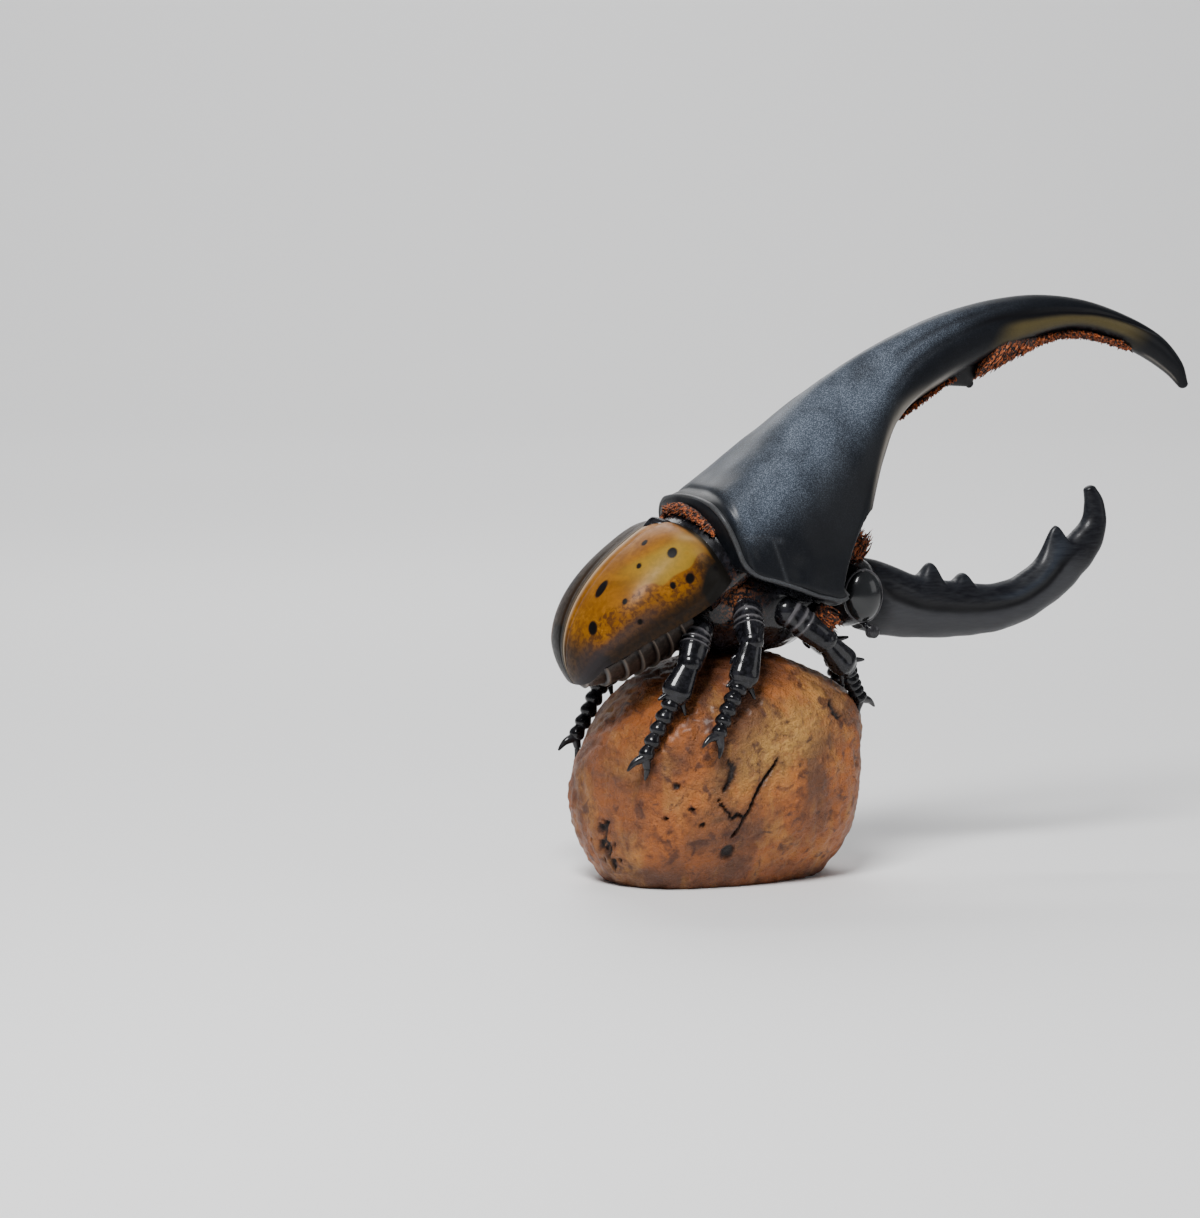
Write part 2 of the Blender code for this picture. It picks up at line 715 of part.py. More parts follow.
def trim_beyond(obj, point, normal):
    """Removes what lies past a plane and closes the cut."""
    shell = bmesh.new()
    shell.from_mesh(obj.data)
    made = bmesh.ops.bisect_plane(
        shell, geom=shell.verts[:] + shell.edges[:] + shell.faces[:], dist=1e-8,
        plane_co=Vector(point) * MM, plane_no=normal, clear_outer=True)
    rim = [e for e in made["geom_cut"] if isinstance(e, bmesh.types.BMEdge)]
    if rim:
        bmesh.ops.contextual_create(shell, geom=rim)
    bmesh.ops.triangulate(shell, faces=[f for f in shell.faces if len(f.verts) > 4])
    bmesh.ops.recalc_face_normals(shell, faces=shell.faces)
    shell.to_mesh(obj.data)
    shell.free()
    return obj


def build_leg(row, hand, joints, side, walls, finish):
    """Adds the three nodes of one leg, parted at knee and ankle and cleared of its neighbours."""
    femur, tibia, tarsus, spurs = leg_shapes(joints, side)
    for index, before, after in ((2, femur, tibia), (3, tibia, tarsus)):
        place, along = joint_plane(joints, side, index)
        trim_beyond(before, place - along * HALF_GAP, along)
        trim_beyond(after, place + along * HALF_GAP, -along)
    fuse(tibia, spurs)
    cut(tibia, [tarsus_room(joints, side)], solver="MANIFOLD")
    for shape, label in ((femur, "femur"), (tibia, "tibia"), (tarsus, "tarsus")):
        cut(shape, walls, solver="MANIFOLD")
        part(f"leg_{row}_{hand}_{label}", shape, finish)


def horn_tooth(grow=0.0):
    """Blade-like tooth under the horn, long where it leaves the horn and blunt at its tip."""
    along = Vector((math.cos(HORN_TOOTH_LEAN), 0, math.sin(HORN_TOOTH_LEAN)))
    rings = []
    for x, z, length, width in HORN_TOOTH:
        ring = []
        for k in range(HORN_TOOTH_POINTS):
            angle = math.tau * k / HORN_TOOTH_POINTS
            side = Vector((x, (width + grow) * math.sin(angle), z))
            ring.append(side + along * (length + grow) * math.cos(angle))
        rings.append(ring)
    return loft("tooth", rings)


def build_crest(finish):
    """Pronotum and the two lengths of its horn, with the tooth on the shaft."""
    roller = scoop(SCOOP_RADIUS)
    for name, start, end in zip(CREST_NAMES, CREST_CUTS, CREST_CUTS[1:]):
        piece = crest_piece(name, start, end)
        if name == "pronotum":
            cut(piece, [roller])
        if name == "thoracic_horn_shaft":
            fuse(piece, [horn_tooth()])
        part(name, piece, finish)


def build_head(finish, horn_finish, eye_finish):
    """Head ball, eyes and the toothed horn on the head."""
    roller = scoop(SCOOP_RADIUS - GAP)
    head = ellipsoid("head", HEAD_CENTRE, HEAD_RADII, 0.0, 22, 14)
    eyes = []
    for side in (-1, 1):
        centre = (EYE_CENTRE[0], side * EYE_CENTRE[1], EYE_CENTRE[2])
        eyes.append(ellipsoid("eye_room", centre, EYE_RADII, GAP, 16, 10))
    cut(head, [roller], "INTERSECT")
    cut(head, eyes)
    part("head", head, finish)
    for side, hand in SIDES:
        centre = (EYE_CENTRE[0], side * EYE_CENTRE[1], EYE_CENTRE[2])
        eye = ellipsoid("eye", centre, EYE_RADII, 0.0, 16, 10)
        part(f"eye_{hand}", cut(eye, [roller], "INTERSECT"), eye_finish)
    grown = ellipsoid("head_room", HEAD_CENTRE, HEAD_RADII, FIT, 22, 14)
    for name, start, end in zip(HEAD_HORN_NAMES, HEAD_HORN_CUTS, HEAD_HORN_CUTS[1:]):
        piece = head_horn_piece(name, start, end)
        teeth = HEAD_HORN_TEETH if name == HEAD_HORN_NAMES[0] else (HOOK_TOOTH,)
        fuse(piece, [spike("tooth", (a, 0, b), (c, 0, d), r, 8, TOOTH_END) for a, b, c, d, r in teeth])
        if name == HEAD_HORN_NAMES[0]:
            cut(piece, [grown, *eyes])
        part(name, piece, horn_finish)
    return grown, eyes


def build_feelers(finish, walls):
    """A short clubbed feeler under each eye."""
    for side, hand in SIDES:
        stem = tube("stem", mirrored(FEELER_STEM, side), FEELER_STEM_RADII, 8)
        club = ellipsoid("club", mirrored([FEELER_CLUB], side)[0], FEELER_CLUB_RADII, 0.0, 12, 8)
        feeler = fuse(stem, [club])
        part(f"antenna_{hand}", cut(feeler, walls), finish)


def lock(root, tip, across, width, thickness):
    """A flat tapered lock of bristle that bends from its root to its tip."""
    root, tip, across = Vector(root), Vector(tip), Vector(across).normalized()
    along = (tip - root).normalized()
    face = along.cross(across).normalized()
    rings = []
    for share, size, bow in ((0.0, 1.0, 0.0), (0.55, 0.95, 0.10), (1.0, 0.58, 0.0)):
        middle = root.lerp(tip, share) + face * bow * (tip - root).length
        w, t = across * width * size * 0.5, face * thickness * size * 0.5
        rings.append([middle + w, middle + t, middle - w, middle - t])
    return loft("lock", rings)


def scutellum(name, grow=0.0):
    """Three-cornered plate lying over the front of the seam between the wing cases."""
    front, tip = SCUTELLUM_FRONT + grow, SCUTELLUM_TIP - grow
    half, tip_half = SCUTELLUM_HALF + grow, SCUTELLUM_TIP_HALF + grow
    corners = ((front, -half), (front, half), (SCUTELLUM_SHOULDER, half),
               (tip, tip_half), (tip, -tip_half), (SCUTELLUM_SHOULDER, -half))
    rings = []
    for lift in (SCUTELLUM_ROOT - grow, SCUTELLUM_LIFT + grow):
        rings.append([in_body(ahead, side, case_height(-ahead * SCUTELLUM_SLOPE) + lift)
                      for ahead, side in corners])
    return loft(name, rings)


def fringe_point(angle, out, ahead):
    """A point of the fringe's arch at an angle round the neck, moved outwards and ahead."""
    c, s = math.cos(angle), math.sin(angle)
    reach = FRINGE_AHEAD + FRINGE_LEAN * s + ahead
    return Vector(in_body(reach, (FRINGE_HALF_WIDTH + out) * c, (FRINGE_HEIGHT + out) * s))


def fringe(name, draw):
    """Arch of bristle lying on the neck under the hind rim of the pronotum."""
    first, last = FRINGE_ANGLES
    rings = []
    for k in range(FRINGE_STEPS + 1):
        angle = first + (last - first) * k / FRINGE_STEPS
        rings.append([fringe_point(angle, out, ahead) for out, ahead in FRINGE_SECTION])
    band = loft(name, rings)
    locks = []
    for k in range(FRINGE_LOCKS):
        angle = first + (last - first) * (k + 0.3 + 0.4 * draw.random()) / FRINGE_LOCKS
        swing = angle + 0.05 * (draw.random() - 0.5)
        root = fringe_point(angle, 0.1, 0.8)
        tip = fringe_point(swing, 0.7, -FRINGE_REACH - 0.8 * draw.random())
        across = fringe_point(angle + 0.1, 0.1, 0.8) - root
        locks.append(lock(root, tip, across, *FRINGE_LOCK))
    return fuse(band, locks)


def tuft(name, root, tip, radius, count, draw):
    """A short brush: a low core with a ring of locks round it."""
    root, tip = Vector(root), Vector(tip)
    along = (tip - root).normalized()
    side = along.cross(Vector((0, 0, 1))).normalized()
    up = side.cross(along)
    core = tube(name, [root, root.lerp(tip, 0.6)], [radius, radius * 0.6], 8)
    locks = []
    for k in range(count):
        angle = math.tau * (k + 0.5 * draw.random()) / count
        way = side * math.cos(angle) + up * math.sin(angle)
        first = root + way * radius * 0.5
        last = root.lerp(tip, 0.9 + 0.2 * draw.random()) + way * radius * 0.62
        locks.append(lock(first, last, along.cross(way), *TUFT_LOCK))
    return fuse(core, locks)


def build_tufts(finish, walls, draw):
    """Short brushes at the throat and before the chest."""
    throat = tuft("throat_tuft", *THROAT_TUFT, *THROAT_SHAPE, draw)
    part("throat_tuft", cut(throat, walls), finish)
    for side, hand in SIDES:
        chest = tuft("chest_tuft", *mirrored(CHEST_TUFT, side), *CHEST_SHAPE, draw)
        part(f"chest_tuft_{hand}", cut(chest, walls), finish)


def under_horn(place, side, reach):
    """A point off the underside of the horn at a crest station, and the way along the horn."""
    values = row_at(CREST_STATIONS, place)
    ahead = row_at(CREST_STATIONS, place + 0.05)
    top, low = Vector((values[0], 0, values[1])), Vector((values[2], 0, values[3]))
    along = (Vector((ahead[2], 0, ahead[3])) - low).normalized()
    return low - (top - low).normalized() * reach + Vector((0, side, 0)), along


def brush(name, draw):
    """A row of bristles under the horn: a low core with two staggered rows of locks."""
    start, end = BRUSHES[name]
    first, last = BRUSH_REACH[name]
    rings = []
    for k in range(BRUSH_STEPS + 1):
        share = k / BRUSH_STEPS
        swell = math.sin(math.pi * (0.06 + 0.88 * share)) ** 0.5
        core = BRUSH_CORE * (first + (last - first) * share) * swell
        section = ((-1.0, -BRUSH_ROOT), (-0.8, core * 0.7), (0.0, core), (0.8, core * 0.7),
                   (1.0, -BRUSH_ROOT), (0.0, -BRUSH_ROOT - 0.6))
        place = start + (end - start) * share
        rings.append([under_horn(place, side * BRUSH_HALF_WIDTH * swell, depth)[0]
                      for side, depth in section])
    length = (under_horn(end, 0, 0)[0] - under_horn(start, 0, 0)[0]).length
    count = int(length / LOCK_SPACING)
    locks = []
    for k in range(count):
        for row in (-1, 1):
            share = (k + 0.5 + 0.25 * row) / count
            place = start + (end - start) * share
            side = row * BRUSH_HALF_WIDTH * (0.34 + 0.1 * draw.random())
            root, along = under_horn(place, side, -0.6)
            reach = (first + (last - first) * share) * math.sin(math.pi * (0.1 + 0.8 * share)) ** 0.4
            tip, _ = under_horn(place, side * 1.25, reach * (0.90 + 0.2 * draw.random()))
            tip += along * (0.3 + 0.6 * draw.random())
            locks.append(lock(root, tip, along, *BRUSH_LOCK))
    return fuse(loft(name, rings), locks)


def build_brushes(finish, walls, draw):
    """Bristle brushes in the hollows under the horn, ahead of its tooth and behind it."""
    for name in BRUSHES:
        part(name, cut(brush(name, draw), walls), finish)


FIGURINE = None
CUTTERS = None


def main():
    """Builds every piece of the figurine, from the boulder up to the horns."""
    global FIGURINE, CUTTERS
    clear_scene()
    FIGURINE = collection("hercules_beetle_figurine")
    CUTTERS = collection("cutters")

    rock_finish = material("painted boulder", (0.44, 0.19, 0.06), 0.55)
    black = material("black shell", (0.012, 0.013, 0.017), 0.22)
    blue_black = material("blue black shell", (0.025, 0.030, 0.042), 0.28)
    amber = material("amber wing case", (0.42, 0.20, 0.03), 0.20)
    brown = material("brown belly", (0.05, 0.035, 0.025), 0.35)
    bristle = material("rust bristle", (0.45, 0.11, 0.02), 0.75)
    eye_black = material("eye black", (0.006, 0.006, 0.008), 0.08)

    part("base_rock", boulder("base_rock"), rock_finish)
    rock_room = boulder("rock_room", FIT)

    build_crest(blue_black)
    crest_room = crest_piece("crest_room", 0.0, CREST_CUTS[1], FIT)
    cut(crest_room, [scoop(SCOOP_RADIUS - FIT)])
    plate_room = scutellum("plate_room", FIT)
    for side, hand in SIDES:
        part(f"elytron_{hand}", cut(wing_case("wing_case", side), [plate_room, crest_room]), amber)
    part("scutellum", cut(scutellum("scutellum"), [crest_room]), black)
    dome = dome_room(FIT)
    part("abdomen", belly("belly"), brown)
    belly_room = belly("belly_room", FIT)

    head_room, eye_rooms = build_head(black, blue_black, eye_black)

    chest = thorax("thorax")
    cut(chest, [crest_room, dome, belly_room, head_room, *eye_rooms, plate_room])
    part("thorax", chest, black)

    chest_room = thorax("thorax_room", FIT)
    walls = [chest_room, belly_room, dome, crest_room, rock_room, head_room, *eye_rooms]
    for row, joints in LEG_JOINTS.items():
        build_leg(row, "right", joints, -1, walls, black)
        build_leg(row, "left", LEFT_FRONT if row == "front" else joints, 1, walls, black)

    draw = random.Random(BRISTLE_SEED)
    part("rim_fringe", cut(fringe("rim_fringe", draw), [chest_room, crest_room, dome, plate_room]), bristle)
    horn_room = head_horn_piece("horn_room", HEAD_HORN_CUTS[0], HEAD_HORN_CUTS[1], FIT)
    front_legs = leg_rooms(LEG_JOINTS["front"], -1) + leg_rooms(LEFT_FRONT, 1)
    build_feelers(black, [head_room, horn_room, *eye_rooms, *front_legs])
    build_tufts(bristle, [chest_room, crest_room, head_room, horn_room, *eye_rooms, *front_legs], draw)

    shaft_room = crest_piece("shaft_room", CREST_CUTS[1] - 0.3, CREST_CUTS[2], FIT)
    tip_room = crest_piece("tip_room", CREST_CUTS[2] - 0.3, CREST_CUTS[3], FIT)
    build_brushes(bristle, [shaft_room, tip_room, horn_tooth(FIT), crest_room], draw)

    for guide in list(CUTTERS.objects):
        bpy.data.objects.remove(guide)


main()
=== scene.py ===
"""Looks of a painted hercules beetle figurine that climbs over its boulder base.

Lengths inside the script are millimetres, in the frame's own axes: +X is the beetle's
heading, +Y its left side and +Z up. Every mesh is scaled to metres as it is made.
"""
import math

import bpy
import numpy as np
from bpy.props import FloatProperty, FloatVectorProperty, IntProperty, PointerProperty
from mathutils import Matrix, Vector


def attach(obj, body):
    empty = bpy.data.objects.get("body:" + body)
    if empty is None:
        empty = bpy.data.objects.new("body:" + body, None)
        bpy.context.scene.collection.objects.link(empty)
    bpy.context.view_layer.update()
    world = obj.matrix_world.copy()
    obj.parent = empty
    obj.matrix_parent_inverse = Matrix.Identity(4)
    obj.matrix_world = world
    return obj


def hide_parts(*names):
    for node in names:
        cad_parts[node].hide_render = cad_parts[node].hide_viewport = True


bl_info = {
    "name": "Hercules beetle figurine",
    "version": (1, 0, 0),
    "blender": (4, 5, 0),
    "location": "3D View > Sidebar > Beetle",
    "description": "Fine surfaces, painted finishes and studio for a beetle on a boulder",
    "category": "Object",
}

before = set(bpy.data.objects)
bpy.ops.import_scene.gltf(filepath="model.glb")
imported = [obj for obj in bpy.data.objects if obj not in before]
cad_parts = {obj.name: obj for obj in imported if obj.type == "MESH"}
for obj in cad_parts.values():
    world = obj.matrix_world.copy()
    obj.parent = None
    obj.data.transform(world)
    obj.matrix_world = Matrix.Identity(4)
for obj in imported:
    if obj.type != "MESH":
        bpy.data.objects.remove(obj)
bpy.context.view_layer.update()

MM = 0.001
BODY = "root"

# Camera: the photograph's view, its pixels read in a frame of 1200 by 1218.
IMAGE_SIZE = (1200, 1218)
VIEW_AZIMUTH = math.radians(-25)
VIEW_ELEVATION = math.radians(6)
VIEW_DISTANCE = 900.0
PIXEL_SIZE = 0.22
ORIGIN_PIXEL = (715, 874)
SENSOR_WIDTH = 36.0

# Boulder: its half lengths, top and root, and the height and slope of its widest ring.
ROCK_CENTRE_X = 0.6
ROCK_HALF_LENGTH = 32.2
ROCK_HALF_WIDTH = 25.0
ROCK_TAIL_DROP = 0.13
ROCK_TOP = 49.5
ROCK_ROOT = -8.0
ROCK_WAIST = 23.0
ROCK_WAIST_SLOPE = 0.19
ROCK_POWER = 2.3
# Height of the skin's flat underside, so that it doesn't flicker with the floor.
ROCK_UNDERSIDE = 0.02

# Cracks on the boulder's right side, as x and z of their corners and their half width.
ROCK_CRACKS = (
    (((3.0, 28.6), (1.4, 26.3), (-1.8, 22.7), (-3.1, 19.9), (-5.1, 15.8), (-7.0, 12.0)), 0.42),
    (((-11.2, 20.3), (-9.6, 17.8), (-7.1, 16.3), (-5.1, 16.0)), 0.34),
    (((-8.8, 28.7), (-7.7, 27.0), (-8.6, 24.8), (-9.9, 22.5)), 0.60),
    (((-30.2, 14.9), (-30.0, 11.0), (-28.6, 6.5), (-27.3, 3.9)), 0.36),
    (((18.5, 39.7), (18.8, 37.4), (20.9, 36.3)), 0.56),
)
# Pits on the same side: x, z and radius.
ROCK_PITS = (
    (-7.8, 8.3, 2.0), (-19.7, 23.4, 0.9), (-16.7, 18.5, 0.7), (-14.4, 15.0, 0.7),
    (-21.6, 16.5, 0.5),
)
# Golden streak on the same side, a painted highlight: middle, direction, half length and half
# width.
ROCK_HIGHLIGHT_STREAK = ((4.0, 31.4), (0.81, 0.58), 15.0, 5.5)
# Number of cracks that are drawn at random on the other side.
ROCK_FAR_CRACKS = 7

# Pronotum and its horn, rear to tip: top x, top z, bottom x, bottom z, half width,
# height of the widest level (share of the depth), power of the upper outline.
CREST_STATIONS = (
    (-7.6, 83.4, -2.0, 68.2, 17.8, 0.10, 3.0),
    (0.3, 88.9, 3.5, 65.8, 18.0, 0.08, 2.7),
    (9.4, 96.4, 11.0, 63.2, 17.8, 0.08, 2.3),
    (20.8, 105.0, 18.5, 60.6, 16.8, 0.08, 1.9),
    (30.4, 111.0, 25.0, 59.3, 15.2, 0.10, 1.7),
    (38.3, 115.2, 30.0, 68.0, 11.8, 0.15, 1.8),
    (45.2, 118.3, 33.4, 80.0, 8.8, 0.25, 2.0),
    (52.0, 121.0, 36.8, 90.6, 7.4, 0.35, 2.0),
    (60.0, 123.4, 44.8, 99.6, 6.6, 0.42, 2.0),
    (70.0, 125.4, 58.8, 108.2, 5.8, 0.45, 2.0),
    (80.6, 126.2, 73.5, 114.0, 5.2, 0.45, 2.0),
    (92.0, 125.0, 87.0, 117.6, 4.5, 0.45, 2.0),
    (103.0, 121.6, 98.5, 116.0, 3.8, 0.45, 2.0),
    (112.8, 116.8, 108.2, 111.9, 3.1, 0.45, 2.0),
    (118.8, 110.8, 115.0, 107.9, 2.2, 0.45, 2.0),
    (120.8, 105.8, 118.5, 104.8, 1.2, 0.50, 2.0),
)
CREST_COLUMNS = 160
# Tooth under the upper horn: x, z, half length along the horn and half width of its rings.
HORN_TOOTH = (
    (58.6, 113.4, 10.5, 4.4), (60.0, 111.0, 7.6, 3.4), (61.7, 108.7, 4.2, 2.2),
    (63.3, 106.5, 1.0, 0.8),
)
HORN_TOOTH_LEAN = math.radians(38)
# Folds on the pronotum's sides: x and z of their corners.
PRONOTUM_FOLDS = (
    ((-1.6, 75.6), (4.7, 75.4), (7.6, 74.3)),
    ((4.7, 75.4), (7.1, 69.0), (8.6, 64.5)),
)
# Lines on the pronotum and horns, as place along them and level. The first is the middle of
# the pearly band, a painted sheen on the upper side.
PEARL_SHEEN_BAND = (
    (0.0, 0.54), (0.6, 0.61), (1.4, 0.71), (2.5, 0.78), (3.6, 0.83), (6.0, 0.86), (9.0, 0.88),
)
# Bead round the pronotum from its front corner to the top of its rear rim.
CREST_BEAD = (
    (4.55, 0.26), (4.2, 0.15), (3.98, 0.06), (3.0, 0.03), (1.6, 0.04), (0.5, 0.05), (0.14, 0.16),
    (0.08, 0.40), (0.06, 0.70), (0.06, 0.92),
)
# Upper edge of the upper horn's olive flank.
FLANK_LINE = (
    (7.4, 0.90), (8.1, 0.80), (9.0, 0.71), (9.9, 0.63), (11.0, 0.59), (11.9, 0.72), (12.9, 0.84),
)
# Pale rim low on the same flank, part pale paint and part painted sheen.
PALE_RIM = (
    (4.8, 0.28), (5.2, 0.36), (5.6, 0.42), (6.0, 0.43), (6.5, 0.39), (7.0, 0.33), (7.5, 0.27),
    (8.0, 0.20), (9.0, 0.12),
)
# Side groove of the head horn.
HEAD_HORN_GROOVE = (
    (0.3, 0.70), (1.0, 0.58), (1.8, 0.55), (3.0, 0.53), (4.2, 0.56), (5.1, 0.56), (5.8, 0.56),
    (6.6, 0.64),
)
# Round hollows behind the head: centre as x and z, radius in the middle and at the sides,
# and how much less that is at the front corners.
SCOOPS = (((44.7, 58.3), 15.5, 19.8, 0.0), ((49.9, 59.8), 20.7, 27.0, 2.6))

# Head horn in the same terms: top x, top z, bottom x, bottom z, half width.
HEAD_HORN_STATIONS = (
    (35.5, 68.6, 35.0, 52.6, 6.6),
    (41.5, 67.4, 41.0, 50.7, 6.0),
    (49.0, 64.2, 50.0, 49.6, 5.2),
    (57.5, 62.6, 60.0, 49.4, 4.8),
    (66.5, 61.4, 69.0, 49.9, 4.5),
    (74.0, 62.0, 78.5, 52.3, 4.2),
    (80.5, 65.6, 87.0, 57.0, 3.9),
    (85.7, 69.4, 93.7, 62.8, 3.5),
    (90.3, 71.9, 97.8, 68.8, 3.0),
    (93.4, 75.2, 99.3, 74.6, 2.5),
    (93.9, 78.4, 98.5, 79.2, 2.0),
    (93.7, 81.3, 96.4, 82.1, 1.3),
)
HEAD_HORN_WAIST = 0.42
# Teeth of the head horn: place along it, height, and width behind and ahead of the peak.
HEAD_HORN_TEETH = ((2.57, 3.6, 0.29, 0.21), (3.50, 2.2, 0.21, 0.20), (7.02, 4.2, 0.60, 0.33))

HEAD_CENTRE = (32.2, 0.0, 61.3)
HEAD_RADII = (7.4, 9.2, 7.8)
EYE_CENTRE = (31.6, 8.7, 61.0)
EYE_RADII = (4.7, 3.2, 5.8)
THORAX_CENTRE = (5.0, 0.0, 61.0)
THORAX_RADII = (21.0, 14.6, 9.2)
THORAX_SAG = 0.36
# Short hair over the middle legs: its middle on the left flank, and its half lengths.
FLANK_HAIR = (-1.8, 15.0, 61.0)
FLANK_HAIR_REACH = (4.5, 8.0, 5.5)

# Wing cases over a deck plane that is pitched nose up.
BODY_PITCH = math.radians(36.5)
DECK_FRONT = (-5.9, 64.7)
CASE_LENGTH = 35.1
CASE_FRONT = 6.2
CASE_CREST = 8.0
CASE_HEIGHT = 17.4
CASE_HALF_WIDTH = 18.0
# Powers of the outline: across, behind its highest or widest place, and ahead of that place in
# height and in width.
CASE_POWER = 2.55
CASE_REAR_POWER = 2.1
CASE_RISE_POWER = 3.4
CASE_WIDTH_POWER = 3.8
# Widest place, as a share of the length behind the deck's front.
CASE_WIDEST = 0.4
SEAM_HALF_GAP = 0.15
# How far the side edge curves up over the abdomen, towards the rear.
CASE_EDGE_LIFT = 2.6
# Black spots of each wing case: distance behind the deck's front, share of the turn from seam
# to edge, radius along and radius across.
CASE_SPOTS = (
    (6.1, 0.20, 0.9, 0.8), (4.3, 0.50, 1.3, 1.2), (11.4, 0.37, 0.7, 0.7), (20.0, 0.21, 2.6, 1.3),
    (5.4, 0.78, 1.2, 1.1), (9.4, 0.73, 0.8, 0.8), (19.2, 0.53, 1.0, 0.8), (14.2, 0.73, 0.4, 0.4),
    (27.2, 0.42, 1.6, 1.5), (24.2, 0.51, 0.4, 0.4), (19.8, 0.76, 0.9, 0.8), (-0.9, 0.86, 0.6, 0.6),
)

# Abdomen under the deck.
BELLY_DEPTH = 8.5
BELLY_HALF_WIDTH = 15.8
BELLY_SEGMENTS = 7
BELLY_FRONT = -9.5
BELLY_GAP = 0.30

# Legs on the left side: hip, trochanter, knee, ankle and toe. The right legs mirror them.
LEG_JOINTS = {
    "hind": (
        (-8.0, 9.0, 56.5), (-11.4, 13.6, 54.6), (-14.8, 17.2, 49.2), (-19.0, 18.2, 42.0),
        (-25.8, 17.8, 29.4)),
    "middle": (
        (3.0, 9.0, 58.5), (0.4, 14.6, 58.2), (-0.8, 18.6, 53.4), (-4.6, 21.4, 44.8),
        (-11.6, 24.4, 34.2)),
    "front": (
        (9.0, 8.0, 58.0), (11.2, 13.6, 58.2), (18.4, 16.0, 52.4), (24.4, 15.2, 46.2),
        (29.4, 12.4, 38.6)),
}
# The left front leg stands further forward than its twin.
LEFT_FRONT = (
    (10.0, 8.0, 58.0), (17.0, 13.4, 56.0), (27.0, 14.6, 53.2), (34.6, 11.0, 47.4),
    (34.4, 6.4, 37.8))
FEMUR_RADIUS = 3.0
TIBIA_RADIUS = 3.0
# Raised rings on a femur: their shares of its length, height as a share of the radius and
# how much of the pale tone, a painted highlight, they take.
FEMUR_RINGS = (0.40, 0.50, 0.60)
RING_HEIGHT = 0.07
RING_HIGHLIGHT = 0.45
TARSUS_RADIUS = 1.7
TARSUS_BEADS = 5
CLAW_LENGTH = 4.2

# Bristle fringe on an arch over the deck, at the pronotum's rear rim.
FRINGE_HALF_WIDTH = 15.9
FRINGE_HEIGHT = 15.6
FRINGE_AHEAD = 4.6
FRINGE_LEAN = 3.4
FRINGE_START = math.radians(40)
FRINGE_TURN = math.radians(100)
# Tufts: start, end and radius.
THROAT_TUFT = ((31.2, 0.0, 67.8), (35.8, 0.0, 74.2), 3.4)
CHEST_TUFT = ((18.5, 11.0, 58.4), (22.6, 13.2, 55.0), 2.0)
# Brushes under the horn: first and last place along it, and share of the way with reach.
BRUSHES = {
    "horn_brush_front": (
        9.48, 12.6, ((0.0, 5.8), (0.12, 4.6), (0.35, 2.6), (0.7, 1.3), (1.0, 0.4))),
    "horn_brush_rear": (7.9, 9.0, ((0.0, 0.5), (0.5, 2.4), (1.0, 0.6))),
}
BRUSH_HALF_WIDTH = 2.4
# Level on the flanks up to which bristles grow: place along the horn and level.
BRUSH_EDGE = (
    (7.4, 0.03), (9.2, 0.03), (9.5, 0.34), (9.8, 0.27), (10.3, 0.12), (10.8, 0.05), (12.8, 0.03),
)
# Growth of the bristle groups: number, scatter of the tips, offset of the seed, and the
# noise level above which a bristle turns black.
GROWTH = {
    "rim_fringe": (1700, 0.38, 1, 0.45),
    "horn_brush_front": (2900, 0.30, 2, 0.45),
    "horn_brush_rear": (900, 0.30, 3, 0.45),
    "throat_tuft": (420, 0.9, 5, 0.46),
    "chest_tuft_right": (220, 0.8, 6, 0.44),
    "chest_tuft_left": (220, 0.8, 8, 0.44),
}
BRISTLE_ROWS = 6
BRISTLE_COLUMNS = 5
# Side of one bristle's patch in the map, and the part of the map that patches start in.
BRISTLE_PATCH = 0.003
MAP_SHARE = 0.99

# Scutellum: its ends ahead of and behind the deck's front, and half width.
SCUTELLUM_AHEAD = 4.6
SCUTELLUM_BACK = -2.6
SCUTELLUM_HALF = 3.2

SIDES = (("right", -1), ("left", 1))
RIPPLE_WAVES = 14
NOISE_ROUGHNESS = 0.55
# Share of a quarter turn at which a dome ends, just short of its pole.
DOME_END = 0.985
# Angles in degrees over which an edge is shaded as sharp.
CREASE = 40
ROCK_CREASE = 50
BRISTLE_CREASE = 60
# Fields of a shell in the plain tone of the glossy black.
PLAIN = {"pale": 0.0}

# Studio, in metres: a floor that sweeps up into a wall behind the model, seen from the camera.
FLOOR_REACH = 4.0
SWEEP_START = 1.6
SWEEP_RADIUS = 0.8
WALL_TOP = 3.4
FLOOR_COLOUR = (0.88, 0.88, 0.88)
MODEL_MIDDLE = (0.01, 0.0, 0.06)
# Lamps: name, place, goal, side length and power.
LAMPS = (
    ("key", (-0.30, -0.34, 0.66), MODEL_MIDDLE, 0.24, 8.5),
    ("fill", (0.70, -0.50, 0.30), MODEL_MIDDLE, 0.40, 0.7),
    ("rim", (0.10, 0.60, 0.60), MODEL_MIDDLE, 0.40, 2.2),
    ("wash", (0.30, 0.90, 1.50), (0.9, 2.2, 0.3), 1.00, 30.0),
)
SKY_COLOUR = (0.92, 0.94, 1.0)
SKY_STRENGTH = 0.15


def metres(name, description, default, low, high):
    """A property for a length in metres."""
    return FloatProperty(name=name, description=description, default=default, min=low, max=high,
                         unit="LENGTH")


def swatch(name, description, default):
    """A property for a paint's colour."""
    return FloatVectorProperty(name=name, description=description, default=default, min=0.0,
                               max=1.0, subtype="COLOR")


